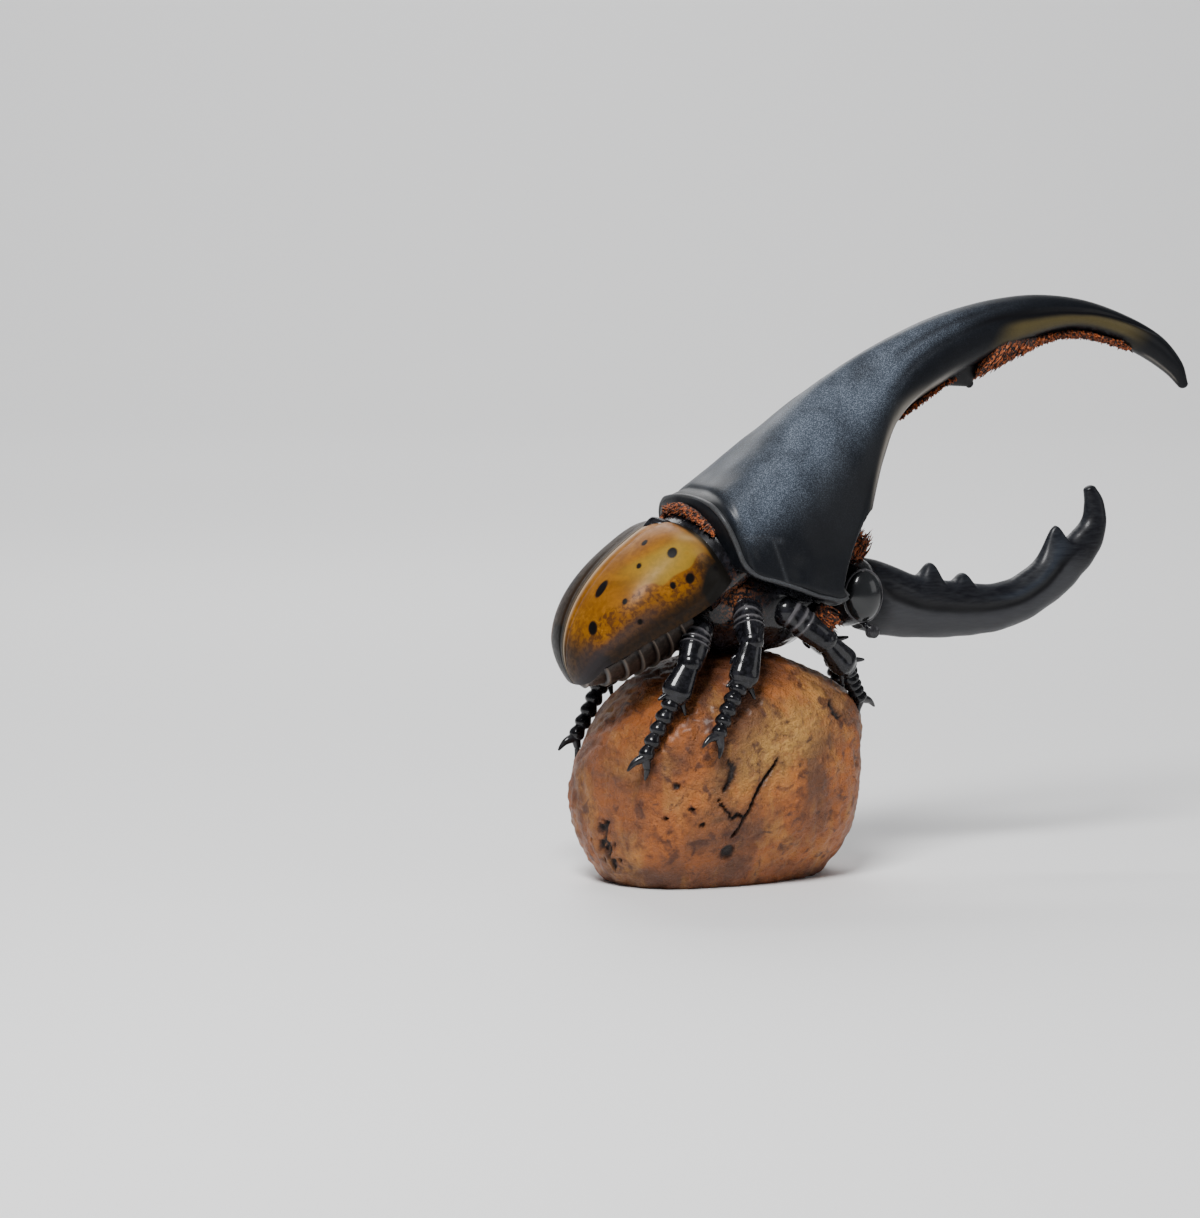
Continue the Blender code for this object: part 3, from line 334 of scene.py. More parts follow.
class BeetleSizes(bpy.types.PropertyGroup):
    """Sizes of the fine forms that a user may change."""

    bead_radius: metres(
        "Rim bead", "Radius of the rolled bead round the pronotum", 0.00056, 0.0001, 0.002)
    groove_depth: metres(
        "Groove depth", "Depth of the grooves along both horns", 0.0004, 0.0, 0.002)
    crack_depth: metres(
        "Crack depth", "Depth of the boulder's cracks", 0.0009, 0.0, 0.003)
    bristle_width: metres(
        "Bristle width", "Thickness of one sculpted bristle at its root", 0.00040, 0.0001, 0.002)
    bristle_share: FloatProperty(
        name="Bristle share", description="Share of the full number of bristles",
        default=1.0, min=0.05, max=1.5, subtype="FACTOR")
    seed: IntProperty(name="Seed", description="Start of every random draw", default=11, min=0)


class BeetleColours(bpy.types.PropertyGroup):
    """Paint colours of the figurine."""

    horn: swatch("Horn", "Blue-black of the pronotum and horns", (0.0030, 0.0035, 0.0050))
    # Colour of the painted sheen on the upper side of the pronotum and horns.
    pearl_sheen: swatch("Pearl", "Pale specks in the blue-black paint", (0.13, 0.165, 0.22))
    flank: swatch("Flank", "Olive grey of the horn's lower flank", (0.088, 0.068, 0.026))
    shell: swatch("Shell", "Black of the legs, chest and head", (0.0035, 0.0035, 0.0045))
    amber: swatch("Amber", "Orange gold of the wing cases", (0.255, 0.100, 0.008))
    olive: swatch("Olive", "Yellow olive in the middle of the wing cases", (0.26, 0.158, 0.017))
    rust: swatch("Rust", "Orange of the bristles", (0.56, 0.145, 0.032))
    boulder: swatch("Boulder", "Terracotta of the base", (0.36, 0.103, 0.015))


def catmull(rows, places):
    """Rows of values at positions between them, on a cubic curve that passes through each row."""
    rows = np.asarray(rows, float)
    places = np.asarray(places, float)
    last = len(rows) - 1
    i = np.clip(np.floor(places).astype(int), 0, last - 1)
    t = (places - i)[..., None]
    a, b, c, d = rows[np.maximum(i - 1, 0)], rows[i], rows[i + 1], rows[np.minimum(i + 2, last)]
    return 0.5 * (2 * b + (c - a) * t + (2 * a - 5 * b + 4 * c - d) * t ** 2
                  + (3 * b - a - 3 * c + d) * t ** 3)


def smooth(value, low, high):
    """Smooth step: nought below low, one above high, 3t^2 - 2t^3 between."""
    t = np.clip((value - low) / (high - low), 0.0, 1.0)
    return t * t * (3 - 2 * t)


def window(value, low, up, down, high):
    """Smooth window: rises from nought to one between low and up, falls back from down to high."""
    return smooth(value, low, up) * smooth(value, high, down)


def bell(value, width):
    """Bell curve exp(-(value / width)^2)."""
    return np.exp(-(value / width) ** 2)


def circle(count):
    """Angles of a number of even steps round a full turn."""
    return np.linspace(0, math.tau, count, endpoint=False)


def unit(vectors):
    """Vectors along the last axis brought to length one."""
    return vectors / (np.linalg.norm(vectors, axis=-1, keepdims=True) + 1e-12)


def read_line(table, places):
    """Values at places between a table's rows of place and value, in straight pieces."""
    at, values = np.transpose(table)
    return np.interp(places, at, values)


def ripple(points, wave, seed):
    """Smooth noise near +-1: a sum of sine waves of about one wavelength in random directions."""
    draw = np.random.default_rng(seed)
    ways = draw.normal(size=(RIPPLE_WAVES, 3))
    ways *= (math.tau / wave * draw.uniform(0.6, 1.5, (RIPPLE_WAVES, 1))
             / np.linalg.norm(ways, axis=1, keepdims=True))
    phases = draw.uniform(0, math.tau, RIPPLE_WAVES)
    return np.sin(points @ ways.T + phases).sum(-1) * (2 / RIPPLE_WAVES) ** 0.5 * 0.7


def normals(grid):
    """Unit normals of a grid that closes on itself round its columns: cross product of slopes."""
    along = np.gradient(grid, axis=0)
    around = np.roll(grid, -1, axis=1) - np.roll(grid, 1, axis=1)
    way = unit(np.cross(around, along))
    return way * np.sign(((grid - grid.mean(1, keepdims=True)) * way).sum())


def domed(grid, reach, rows=6, start=False):
    """The grid with an end closed as a dome: rings shrink by a cosine and move on by a sine."""
    last, before = (grid[0], grid[1]) if start else (grid[-1], grid[-2])
    centre = last.mean(0)
    way = unit(centre - before.mean(0))
    turn = (np.linspace(0, math.pi / 2, rows + 1)[1:] * DOME_END)[:, None, None]
    rings = centre + (last - centre) * np.cos(turn) + way * reach * np.sin(turn)
    return np.concatenate([rings[::-1], grid]) if start else np.concatenate([grid, rings])


def capped(grid, fields, first, last):
    """A grid with a dome at each end, given as its reach and rows, and the fields padded to fit."""
    rows = ((first[1], last[1]), (0, 0))
    fields = {label: np.pad(np.broadcast_to(amounts, grid.shape[:2]), rows, mode="edge")
              for label, amounts in fields.items()}
    return domed(domed(grid, *first, start=True), *last), fields


def grid_faces(rows, columns):
    """Corner numbers of the quads of a grid that closes on itself round its columns."""
    i, j = np.meshgrid(np.arange(rows - 1), np.arange(columns), indexing="ij")
    a, b = i * columns + j, i * columns + (j + 1) % columns
    return np.stack([a, b, b + columns, a + columns], -1).reshape(-1, 4)


def end_fans(rows, columns):
    """Corner numbers of the triangles between a grid's end rows and the two poles that are
    numbered after its points."""
    j = np.arange(columns)
    k = (j + 1) % columns
    end = (rows - 1) * columns
    first = np.stack([k, j, np.full(columns, rows * columns)], -1)
    last = np.stack([end + j, end + k, np.full(columns, rows * columns + 1)], -1)
    return np.concatenate([first, last])


def outward(points, quads, fans):
    """The faces turned outwards: all are flipped if the signed volume they enclose is negative."""
    a, b, c, d = (points[quads[:, k]] for k in range(4))
    volume = (a * np.cross(b, c)).sum() + (a * np.cross(c, d)).sum()
    volume += (points[fans[:, 0]] * np.cross(points[fans[:, 1]], points[fans[:, 2]])).sum()
    return (quads, fans) if volume > 0 else (quads[:, ::-1], fans[:, ::-1])


def shell_parts(grid):
    """Points and faces of a closed skin over a grid, with a fan of triangles on each end row."""
    size = grid.shape[:2]
    points = np.concatenate([grid.reshape(-1, 3), grid[0].mean(0)[None], grid[-1].mean(0)[None]])
    return points, *outward(points, grid_faces(*size), end_fans(*size))


def with_poles(values):
    """Values of a grid in one row, with the means of its end rows for the two poles."""
    return np.concatenate([values.reshape(-1), [values[0].mean()], [values[-1].mean()]])


def mesh_of(name, points, quads, fans, values, corner_map=None):
    """A mesh in metres from arrays of points and faces, with named values at its points and,
    if given, a named map with a place for each point."""
    mesh = bpy.data.meshes.new(name)
    corners = np.concatenate([quads.reshape(-1), fans.reshape(-1)]).astype(np.int32)
    totals = np.concatenate([np.full(len(quads), 4), np.full(len(fans), 3)]).astype(np.int32)
    mesh.vertices.add(len(points))
    mesh.vertices.foreach_set("co", (points * MM).astype(np.float32).reshape(-1))
    mesh.loops.add(len(corners))
    mesh.loops.foreach_set("vertex_index", corners)
    mesh.polygons.add(len(totals))
    mesh.polygons.foreach_set("loop_start", (np.cumsum(totals) - totals).astype(np.int32))
    mesh.update(calc_edges=True)
    for label, amounts in values.items():
        field = mesh.attributes.new(label, "FLOAT", "POINT")
        field.data.foreach_set("value", np.asarray(amounts, np.float32))
    if corner_map:
        label, places = corner_map
        layer = mesh.uv_layers.new(name=label)
        layer.data.foreach_set("uv", places[corners].astype(np.float32).reshape(-1))
    mesh.validate()
    return mesh


def joined(shells):
    """Points, quads, fans and values of several closed skins as one set of arrays."""
    points, quads, fans, values, start = [], [], [], {}, 0
    for grid, fields in shells:
        p, q, f = shell_parts(grid)
        points.append(p)
        quads.append(q + start)
        fans.append(f + start)
        start += len(p)
        for label, amounts in fields.items():
            amounts = np.broadcast_to(amounts, grid.shape[:2])
            values.setdefault(label, []).append(with_poles(amounts))
    return (np.concatenate(points), np.concatenate(quads), np.concatenate(fans),
            {label: np.concatenate(rows) for label, rows in values.items()})


def place_piece(name, mesh, finish, replaced, crease):
    """Adds a finished piece that rides on the figurine and stands for its CAD nodes."""
    obj = bpy.data.objects.new(name, mesh)
    bpy.context.scene.collection.objects.link(obj)
    mesh.materials.append(finish)
    mesh.shade_smooth()
    mesh.set_sharp_from_angle(angle=math.radians(crease))
    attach(obj, BODY)
    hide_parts(*replaced)


def add_shells(name, shells, finish, replaced, crease=CREASE):
    """Adds a piece made of several closed skins."""
    place_piece(name, mesh_of(name, *joined(shells)), finish, replaced, crease)


def in_body(ahead, side, up):
    """Places above the wing cases' pitched deck plane, from lengths ahead, to the left and up."""
    sine, cosine = math.sin(BODY_PITCH), math.cos(BODY_PITCH)
    ahead, side, up = np.broadcast_arrays(ahead, side, up)
    x = DECK_FRONT[0] + ahead * cosine - up * sine
    z = DECK_FRONT[1] + ahead * sine + up * cosine
    return np.stack([x, side, z], -1)


def case_share(back, middle, front_power):
    """Share (1 - |t|^p)^(1/p) of the full size at a distance behind the deck's front edge."""
    back = np.asarray(back, float)
    behind = back > middle
    span = np.where(behind, CASE_LENGTH - middle, CASE_FRONT + middle)
    power = np.where(behind, CASE_REAR_POWER, front_power)
    inside = np.clip(1 - np.abs((back - middle) / span) ** power, 1e-9, 1)
    return inside ** (1 / power)


def case_height(back):
    """Height of the wing cases above the deck plane at a distance behind its front edge."""
    return CASE_HEIGHT * case_share(back, CASE_CREST, CASE_RISE_POWER)


def case_across(back, share):
    """Distance from the middle plane for a share of the way from the seam to the side edge."""
    half = CASE_HALF_WIDTH * case_share(back, CASE_LENGTH * CASE_WIDEST, CASE_WIDTH_POWER)
    return SEAM_HALF_GAP + (half - SEAM_HALF_GAP) * share


def case_arc(back, turn):
    """Distance across and height of a wing case's skin at a share of the turn from the seam to
    the side edge: across = width * sin^(2/p) and up = height * cos^(2/p)."""
    angle = turn * math.pi / 2
    across = case_across(back, np.sin(angle) ** (2 / CASE_POWER))
    return across, case_height(back) * np.cos(angle) ** (2 / CASE_POWER)


def spine(stations):
    """Bottom and top points of a horn's stations, in the middle plane."""
    middle = 0 * stations[:, 0]
    return (np.stack([stations[:, 2], middle, stations[:, 3]], -1),
            np.stack([stations[:, 0], middle, stations[:, 1]], -1))


def lower_power(waist):
    """Power of a horn ring's outline below its widest level: boxier where that level is low."""
    return np.maximum(2.0, 3.6 - 4 * waist)


def crest_ring(stations, columns):
    """Egg-shaped rings along a horn. Between a top and a bottom point, half width * |cos|^(2/n)
    goes to the side and |sin|^(2/n) of the height above or below the widest level goes up."""
    theta = circle(columns)
    sine, cosine = np.sin(theta), np.cos(theta)
    waist, above = stations[:, 5, None], stations[:, 6, None]
    power = np.where(sine > 0, above, lower_power(waist))
    across = np.sign(cosine) * np.abs(cosine) ** (2 / power) * stations[:, 4, None]
    rise = np.abs(sine) ** (2 / power)
    level = np.where(sine > 0, waist + (1 - waist) * rise, waist - waist * rise)
    low, top = spine(stations)
    grid = low[:, None] + (top - low)[:, None] * level[..., None]
    grid[..., 1] += across
    return grid, level, sine


def rings_round(centres, first, second, radii):
    """Rings of points round centres, in the planes of two directions of length one. The radii's
    last axis goes round the ring."""
    turn = circle(radii.shape[-1])
    return (centres[..., None, :] + first[..., None, :] * (np.cos(turn) * radii)[..., None]
            + second[..., None, :] * (np.sin(turn) * radii)[..., None])


def tube(centres, radii, columns, up=(0.0, 0.0, 1.0)):
    """Rings of given radii square to a path; the first axis of each is the path's normal nearest
    to the given up direction."""
    ways = unit(np.gradient(centres, axis=0))
    rise = unit(np.asarray(up) - ways * (ways @ np.asarray(up))[:, None])
    radii = np.broadcast_to(radii.reshape(len(centres), -1), (len(centres), columns))
    return rings_round(centres, rise, np.cross(ways, rise), radii)


def path_of(points, count):
    """Evenly numbered places on a smooth curve through a few points."""
    return catmull(points, np.linspace(0, len(points) - 1, count))


def ball(centre, radii, rows=40, columns=56):
    """Grid of an ellipsoid from pole to pole along its height."""
    tilt = np.linspace(-math.pi / 2, math.pi / 2, rows + 2)[1:-1, None]
    turn = circle(columns)
    x = np.cos(tilt) * np.cos(turn)
    y = np.cos(tilt) * np.sin(turn)
    z = np.sin(tilt) * np.ones_like(turn)
    return np.asarray(centre, float) + np.stack([x, y, z], -1) * np.asarray(radii, float)


def sided(grid, hand):
    """A grid drawn on the left side as it is for hand 1, and its mirror image for hand -1."""
    return np.asarray(grid, float) * np.array([1.0, hand, 1.0])


def gap_to_line(a, b, corners):
    """Shortest distance of places (a, b) from a line of straight pieces, with the share of the
    line's length at which the nearest point lies."""
    best = np.full(np.shape(a), 1e9)
    share = np.zeros(np.shape(a))
    count = len(corners) - 1
    for k in range(count):
        (ax, az), (bx, bz) = corners[k], corners[k + 1]
        dx, dz = bx - ax, bz - az
        t = np.clip(((a - ax) * dx + (b - az) * dz) / (dx * dx + dz * dz), 0, 1)
        far = np.hypot(a - ax - dx * t, b - az - dz * t)
        share = np.where(far < best, (k + t) / count, share)
        best = np.minimum(best, far)
    return best, share


class Paint:
    """Shader nodes of one procedural finish on object coordinates in millimetres."""

    def __init__(self, name, rough=0.4, coat=0.0, coat_rough=0.1, shine=0.5):
        self.material = bpy.data.materials.new(name)
        self.material.use_nodes = True
        self.nodes = self.material.node_tree.nodes
        self.links = self.material.node_tree.links
        self.shader = next(node for node in self.nodes if node.type == "BSDF_PRINCIPLED")
        for label, amount in (("Roughness", rough), ("Coat Weight", coat),
                              ("Coat Roughness", coat_rough), ("Specular IOR Level", shine)):
            self.shader.inputs[label].default_value = amount
        place = self.nodes.new("ShaderNodeTexCoord").outputs["Object"]
        self.place = self.scaled(place, (1 / MM,) * 3)

    def node(self, kind, vector=None, **amounts):
        """A new node with amounts set on the inputs that they name, at a place if one is given."""
        node = self.nodes.new(f"ShaderNode{kind}")
        for label, amount in amounts.items():
            node.inputs[label.replace("_", " ")].default_value = amount
        if vector is not None:
            self.links.new(vector, node.inputs["Vector"])
        return node

    def scaled(self, place, factors):
        """A place with each axis multiplied by a factor of its own."""
        node = self.nodes.new("ShaderNodeVectorMath")
        node.operation = "MULTIPLY"
        node.inputs[1].default_value = factors
        self.links.new(place, node.inputs[0])
        return node.outputs[0]

    def noise(self, scale, detail, distortion=0.0, factors=None):
        """Noise of a number of waves per millimetre, times a factor along each axis if given."""
        place = self.scaled(self.place, factors) if factors else self.place
        return self.node("TexNoise", place, Scale=scale, Detail=detail, Roughness=NOISE_ROUGHNESS,
                         Distortion=distortion).outputs["Fac"]

    def cells(self, scale):
        """Distance to the nearest of random points."""
        return self.node("TexVoronoi", self.place, Scale=scale).outputs["Distance"]

    def field(self, label):
        """A named value of the mesh."""
        node = self.nodes.new("ShaderNodeAttribute")
        node.attribute_name = label
        return node.outputs["Fac"]

    def span(self, value, low, high, at_low=0.0, at_high=1.0):
        """A value mapped from one range to another and held inside it."""
        node = self.node("MapRange", From_Min=low, From_Max=high, To_Min=at_low, To_Max=at_high)
        self.links.new(value, node.inputs["Value"])
        return node.outputs["Result"]

    def maths(self, operation, a, b):
        """One arithmetic step on a value and a value or number."""
        node = self.nodes.new("ShaderNodeMath")
        node.operation = operation
        for socket, value in zip(node.inputs, (a, b)):
            if isinstance(value, float):
                socket.default_value = value
            else:
                self.links.new(value, socket)
        return node.outputs[0]

    def times(self, a, b):
        """Product of a value and a value or number."""
        return self.maths("MULTIPLY", a, b)

    def mix(self, share, first, second):
        """Blend of two colours."""
        node = self.nodes.new("ShaderNodeMix")
        node.data_type = "RGBA"
        self.links.new(share, node.inputs["Factor"])
        for socket, value in ((node.inputs[6], first), (node.inputs[7], second)):
            if isinstance(value, bpy.types.NodeSocket):
                self.links.new(value, socket)
            else:
                socket.default_value = (*value, 1.0)
        return node.outputs[2]

    def lay(self, colour, **tones):
        """A colour with tones laid over it in turn, each as strongly as its field of the mesh."""
        for label, tone in tones.items():
            colour = self.mix(self.field(label), colour, tone)
        return colour

    def plain(self, colour):
        """Sets one colour for the whole finish."""
        self.shader.inputs["Base Color"].default_value = (*colour, 1.0)
        return self.material

    def finish(self, colour, rough=None, bump=None, depth=0.05, strength=0.5):
        """Links the colour, the roughness and a bump height in millimetres to the shader."""
        self.links.new(colour, self.shader.inputs["Base Color"])
        if rough is not None:
            self.links.new(rough, self.shader.inputs["Roughness"])
        if bump is not None:
            node = self.node("Bump", Strength=strength, Distance=depth * MM)
            self.links.new(bump, node.inputs["Height"])
            self.links.new(node.outputs["Normal"], self.shader.inputs["Normal"])
        return self.material


def boulder_paint(colours):
    """Terracotta mottled with gold and dark brown, black-brown in the cracks and pits, with painted
    shade and a golden painted highlight.
    """
    paint = Paint("boulder", rough=0.54, coat=0.16, coat_rough=0.30, shine=0.4)
    broad = paint.noise(0.07, 5, 0.6)
    fine = paint.noise(0.42, 6)
    streaks = paint.noise(0.16, 5, 0.5, (1.0, 0.7, 0.45))
    colour = paint.mix(paint.span(broad, 0.40, 0.62), (0.125, 0.044, 0.016), colours.boulder)
    colour = paint.mix(paint.span(streaks, 0.50, 0.68, 0.0, 0.6), colour, (0.48, 0.22, 0.050))
    # Golden painted highlight along the streak on the right side.
    gold = paint.times(paint.field("gold"), paint.span(fine, 0.38, 0.62, 0.30, 1.0))
    colour = paint.mix(gold, colour, (0.62, 0.33, 0.075))
    colour = paint.mix(paint.span(fine, 0.52, 0.70, 0.0, 0.72), colour, (0.080, 0.020, 0.006))
    blots = paint.span(paint.noise(0.24, 4, 0.9), 0.56, 0.66, 0.0, 0.80)
    colour = paint.mix(blots, colour, (0.060, 0.016, 0.006))
    specks = paint.span(paint.cells(0.9), 0.13, 0.06, 0.0, 0.7)
    colour = paint.mix(specks, colour, (0.055, 0.015, 0.006))
    # Painted shade round the cracks, at the foot, at the rear and on top under the beetle;
    # near-black in the cracks and pits.
    colour = paint.lay(colour, shade=(0.075, 0.020, 0.006), crack=(0.010, 0.004, 0.003))
    bump = paint.maths("ADD", fine, paint.times(paint.noise(1.9, 5), 0.45))
    return paint.finish(colour, paint.span(fine, 0.3, 0.7, 0.42, 0.68), bump, 1.50, 1.0)


def horn_paint(colours):
    """Blue-black with fine pearly specks in a painted sheen on the upper side, olive grey in the
    pale flank, black along the drawn lines and pale cream, partly painted highlight, on the lower
    rim."""
    paint = Paint("horn", rough=0.42, coat=0.12, coat_rough=0.22, shine=0.12)
    broad = paint.noise(0.10, 4, 0.3)
    grain = paint.noise(4.4, 4)
    # Painted sheen: pearly specks over the upper side.
    pearl_sheen = paint.times(paint.field("pearl_sheen"), paint.span(broad, 0.32, 0.60, 0.45, 1.0))
    colour = paint.mix(paint.times(pearl_sheen, 0.30), colours.horn, colours.pearl_sheen)
    specks = paint.times(paint.times(pearl_sheen, paint.span(grain, 0.46, 0.66)), 0.52)
    colour = paint.mix(specks, colour, (0.30, 0.35, 0.43))
    flank = paint.times(paint.field("flank"), paint.span(grain, 0.25, 0.6, 0.7, 1.0))
    colour = paint.mix(flank, colour, colours.flank)
    colour = paint.lay(colour, cream=(0.34, 0.31, 0.27), line=(0.003, 0.003, 0.004))
    bump = paint.maths("ADD", grain, paint.times(paint.noise(0.8, 4), 1.4))
    return paint.finish(colour, paint.span(grain, 0.3, 0.7, 0.34, 0.52), bump)


def head_horn_paint(colours):
    """Grey-black with long brushed streaks and a bluish sheen above the side groove."""
    paint = Paint("head_horn", rough=0.40, coat=0.14, coat_rough=0.20, shine=0.14)
    streak = paint.noise(1.1, 5, 0.2, (0.28, 1.0, 1.9))
    colour = paint.mix(paint.span(streak, 0.35, 0.68), (0.004, 0.004, 0.006), (0.014, 0.015, 0.018))
    # Painted sheen above the groove and along the top.
    colour = paint.mix(paint.times(paint.field("pearl_sheen"), 0.22), colour, colours.pearl_sheen)
    colour = paint.lay(colour, cream=(0.085, 0.086, 0.092), line=(0.003, 0.003, 0.004))
    return paint.finish(colour, paint.span(streak, 0.3, 0.7, 0.34, 0.52), streak, 0.10)


def shell_paint(colours):
    """Glossy black with faint brush marks, rusty hair and a pale tone where the mesh asks, which is
    painted highlight on the femur rings and partly on the eye rims.
    """
    paint = Paint("shell", rough=0.34, coat=0.55, coat_rough=0.07, shine=0.10)
    grain = paint.noise(0.9, 4)
    colour = paint.mix(paint.span(grain, 0.42, 0.70), colours.shell, (0.014, 0.014, 0.018))
    hair = paint.times(paint.field("rust"), paint.span(paint.noise(1.6, 3), 0.48, 0.60))
    colour = paint.mix(hair, colour, (0.22, 0.070, 0.022))
    # Pale tone: painted highlights on the femur rings, part of the eye rims, and faint pale paint
    # on the feelers and claws.
    colour = paint.lay(colour, pale=(0.20, 0.19, 0.20))
    return paint.finish(colour, paint.span(grain, 0.3, 0.7, 0.20, 0.36), grain, 0.10, 0.14)


def case_paint(colours):
    """Amber and olive varnish with black spots, dark rims, a cream patch and a pale suture line
    that are painted highlights, and painted shade near the left case's seam.
    """
    paint = Paint("wing_case", rough=0.50, coat=0.03, coat_rough=0.20, shine=0.09)
    broad = paint.noise(0.16, 4, 0.8)
    fine = paint.noise(0.9, 5, 0.4)
    orange = paint.mix(paint.span(broad, 0.36, 0.66), (0.17, 0.062, 0.006), colours.amber)
    olive = paint.times(paint.field("olive"), paint.span(fine, 0.25, 0.6, 0.70, 1.0))
    colour = paint.mix(olive, orange, colours.olive)
    mottle = paint.times(paint.times(paint.field("mottle"), paint.span(fine, 0.42, 0.60)), 0.8)
    colour = paint.mix(mottle, colour, (0.050, 0.017, 0.005))
    colour = paint.lay(colour, dark=(0.007, 0.006, 0.005), grey=(0.026, 0.021, 0.023),
                       cream=(0.50, 0.38, 0.22), spot=(0.004, 0.003, 0.003),
                       pale=(0.46, 0.37, 0.26))
    return paint.finish(colour, paint.span(fine, 0.3, 0.7, 0.34, 0.48), fine, 0.08, 0.25)


def belly_paint():
    """Dark brown-grey rings with pale edges that are painted highlights."""
    paint = Paint("belly", rough=0.4, coat=0.12, coat_rough=0.2, shine=0.15)
    grain = paint.noise(1.2, 4)
    colour = paint.mix(paint.span(grain, 0.35, 0.65), (0.016, 0.012, 0.010), (0.045, 0.032, 0.026))
    colour = paint.lay(colour, dark=(0.004, 0.003, 0.003), pale=(0.30, 0.24, 0.19))
    return paint.finish(colour, None, grain, 0.08, 0.4)


def bristle_paint(colours, name, share):
    """Rust orange that turns black in streaks and towards the roots."""
    paint = Paint(name, rough=0.66)
    streak = paint.noise(1.5, 3)
    broad = paint.span(paint.noise(2.2, 3), 0.3, 0.7)
    colour = paint.mix(broad, colours.rust, (0.24, 0.050, 0.012))
    colour = paint.mix(paint.span(streak, share, share + 0.07), colour, (0.020, 0.009, 0.007))
    colour = paint.mix(paint.span(paint.field("rise"), 0.32, 0.05), colour, (0.024, 0.011, 0.009))
    return paint.finish(colour)


def eye_paint():
    """Wet black."""
    paint = Paint("eye", rough=0.22, coat=0.45, coat_rough=0.10, shine=0.3)
    return paint.plain((0.012, 0.013, 0.014))


def boulder_cracks(seed):
    """Cracks as corners, half width and side: the named ones on the right, and random walks down
    the left side."""
    draw = np.random.default_rng(seed + 3)
    lines = [(corners, width, -1) for corners, width in ROCK_CRACKS]
    for _ in range(ROCK_FAR_CRACKS):
        start = np.array([draw.uniform(-24, 24), draw.uniform(8, 38)])
        steps = draw.normal((0.3, -2.6), (1.5, 1.0), (5, 2))
        lines.append((start + np.cumsum(steps, 0), draw.uniform(0.25, 0.6), 1))
    return lines


def boulder_grid(sizes):
    """Superellipsoid |x|^p + |y|^p + |z|^p = 1 with low waves, noise for lumps, and cracks and
    pits pressed in; the underside is cut flat at the floor."""
    way = ball((0, 0, 0), (1, 1, 1), 250, 390)
    total = (np.abs(way) ** ROCK_POWER).sum(-1, keepdims=True) ** (1 / ROCK_POWER)
    x, y, z = np.moveaxis(way / total, -1, 0)
    lump = (1 + 0.022 * np.sin(5.3 * x + 1.1) * np.cos(4.1 * y - 0.6)
            + 0.014 * np.sin(6.7 * z + 3 * y))
    ahead = ROCK_HALF_LENGTH * x * lump
    waist = ROCK_WAIST + ROCK_WAIST_SLOPE * ahead
    top = ROCK_TOP - ROCK_TAIL_DROP * np.maximum(0, -ahead)
    height = np.where(z > 0, waist + (top - waist) * z, waist + (waist - ROCK_ROOT) * z)
    side = ROCK_HALF_WIDTH * y * lump * (1 - 0.16 * np.maximum(0, -z))
    grid = np.stack([ahead + ROCK_CENTRE_X, side, height], -1)
    out = unit(grid - np.array([ROCK_CENTRE_X, 0, waist.mean()]))
    swell = (ripple(grid, 16.0, sizes.seed) * 0.20 + ripple(grid, 5.0, sizes.seed + 1) * 0.18
             + ripple(grid, 2.4, sizes.seed + 4) * 0.10)
    wobble = ripple(grid, 2.6, sizes.seed + 2) * 0.32
    x, y, z = np.moveaxis(grid, -1, 0)
    crack, shade = np.zeros(x.shape), np.zeros(x.shape)
    for corners, width, hand in boulder_cracks(sizes.seed):
        far, share = gap_to_line(x + wobble, z + wobble, corners)
        near = y * hand > 2
        size = width * (0.45 + 0.55 * np.sin(math.pi * np.clip(share, 0.02, 0.98)) ** 0.6)
        crack = np.maximum(crack, near * (1 - smooth(far, size * 0.7, size * 1.5)))
        # Painted shade in a band round each crack.
        shade = np.maximum(shade, near * 0.6 * bell(far, 2.4 * width + 0.5))
    for pit_x, pit_z, radius in ROCK_PITS:
        far = np.hypot(x - pit_x, z - pit_z)
        crack = np.maximum(crack, (y < -6) * (1 - smooth(far, radius * 0.6, radius)))
    # Painted shade: darker at the foot and the rear, and on top where the beetle's shadow falls.
    foot, tail = smooth(z, 7.0, 0.0), smooth(x, -12, -30) * smooth(z, 6, 26)
    peak = smooth(z, 41, 47) * smooth(x, 16, 8)
    shade = np.max([shade, 0.45 * foot + 0.4 * tail, 0.75 * peak], 0)
    # Golden streak on the right side only: a painted highlight.
    middle, way, reach, breadth = ROCK_HIGHLIGHT_STREAK
    off = grid[..., [0, 2]] - middle
    streak = bell(off @ way, reach) * bell(off[..., 0] * way[1] - off[..., 1] * way[0], breadth)
    grid = grid + out * (swell - crack * sizes.crack_depth / MM)[..., None]
    grid[..., 2] = np.maximum(grid[..., 2], ROCK_UNDERSIDE)
    return grid, {"crack": crack, "shade": shade, "gold": streak * (grid[..., 1] < 4)}


def case_spots(grid, hand):
    """Painted spots of a wing case: skewed ellipses round their named places."""
    spots = np.zeros(grid.shape[:2])
    level = np.array([math.cos(BODY_PITCH), 0, math.sin(BODY_PITCH)])
    for back, turn, along, wide in CASE_SPOTS:
        across, up = case_arc(back, turn)
        off = grid - in_body(-back, hand * across, up)
        forth = off @ level
        rest = np.sqrt(np.maximum((off ** 2).sum(-1) - forth ** 2, 0))
        skew = forth + 0.35 * off[..., 1] * hand
        spots = np.maximum(spots, 1 - smooth(np.hypot(skew / along, rest / wide), 0.82, 1.12))
    return spots


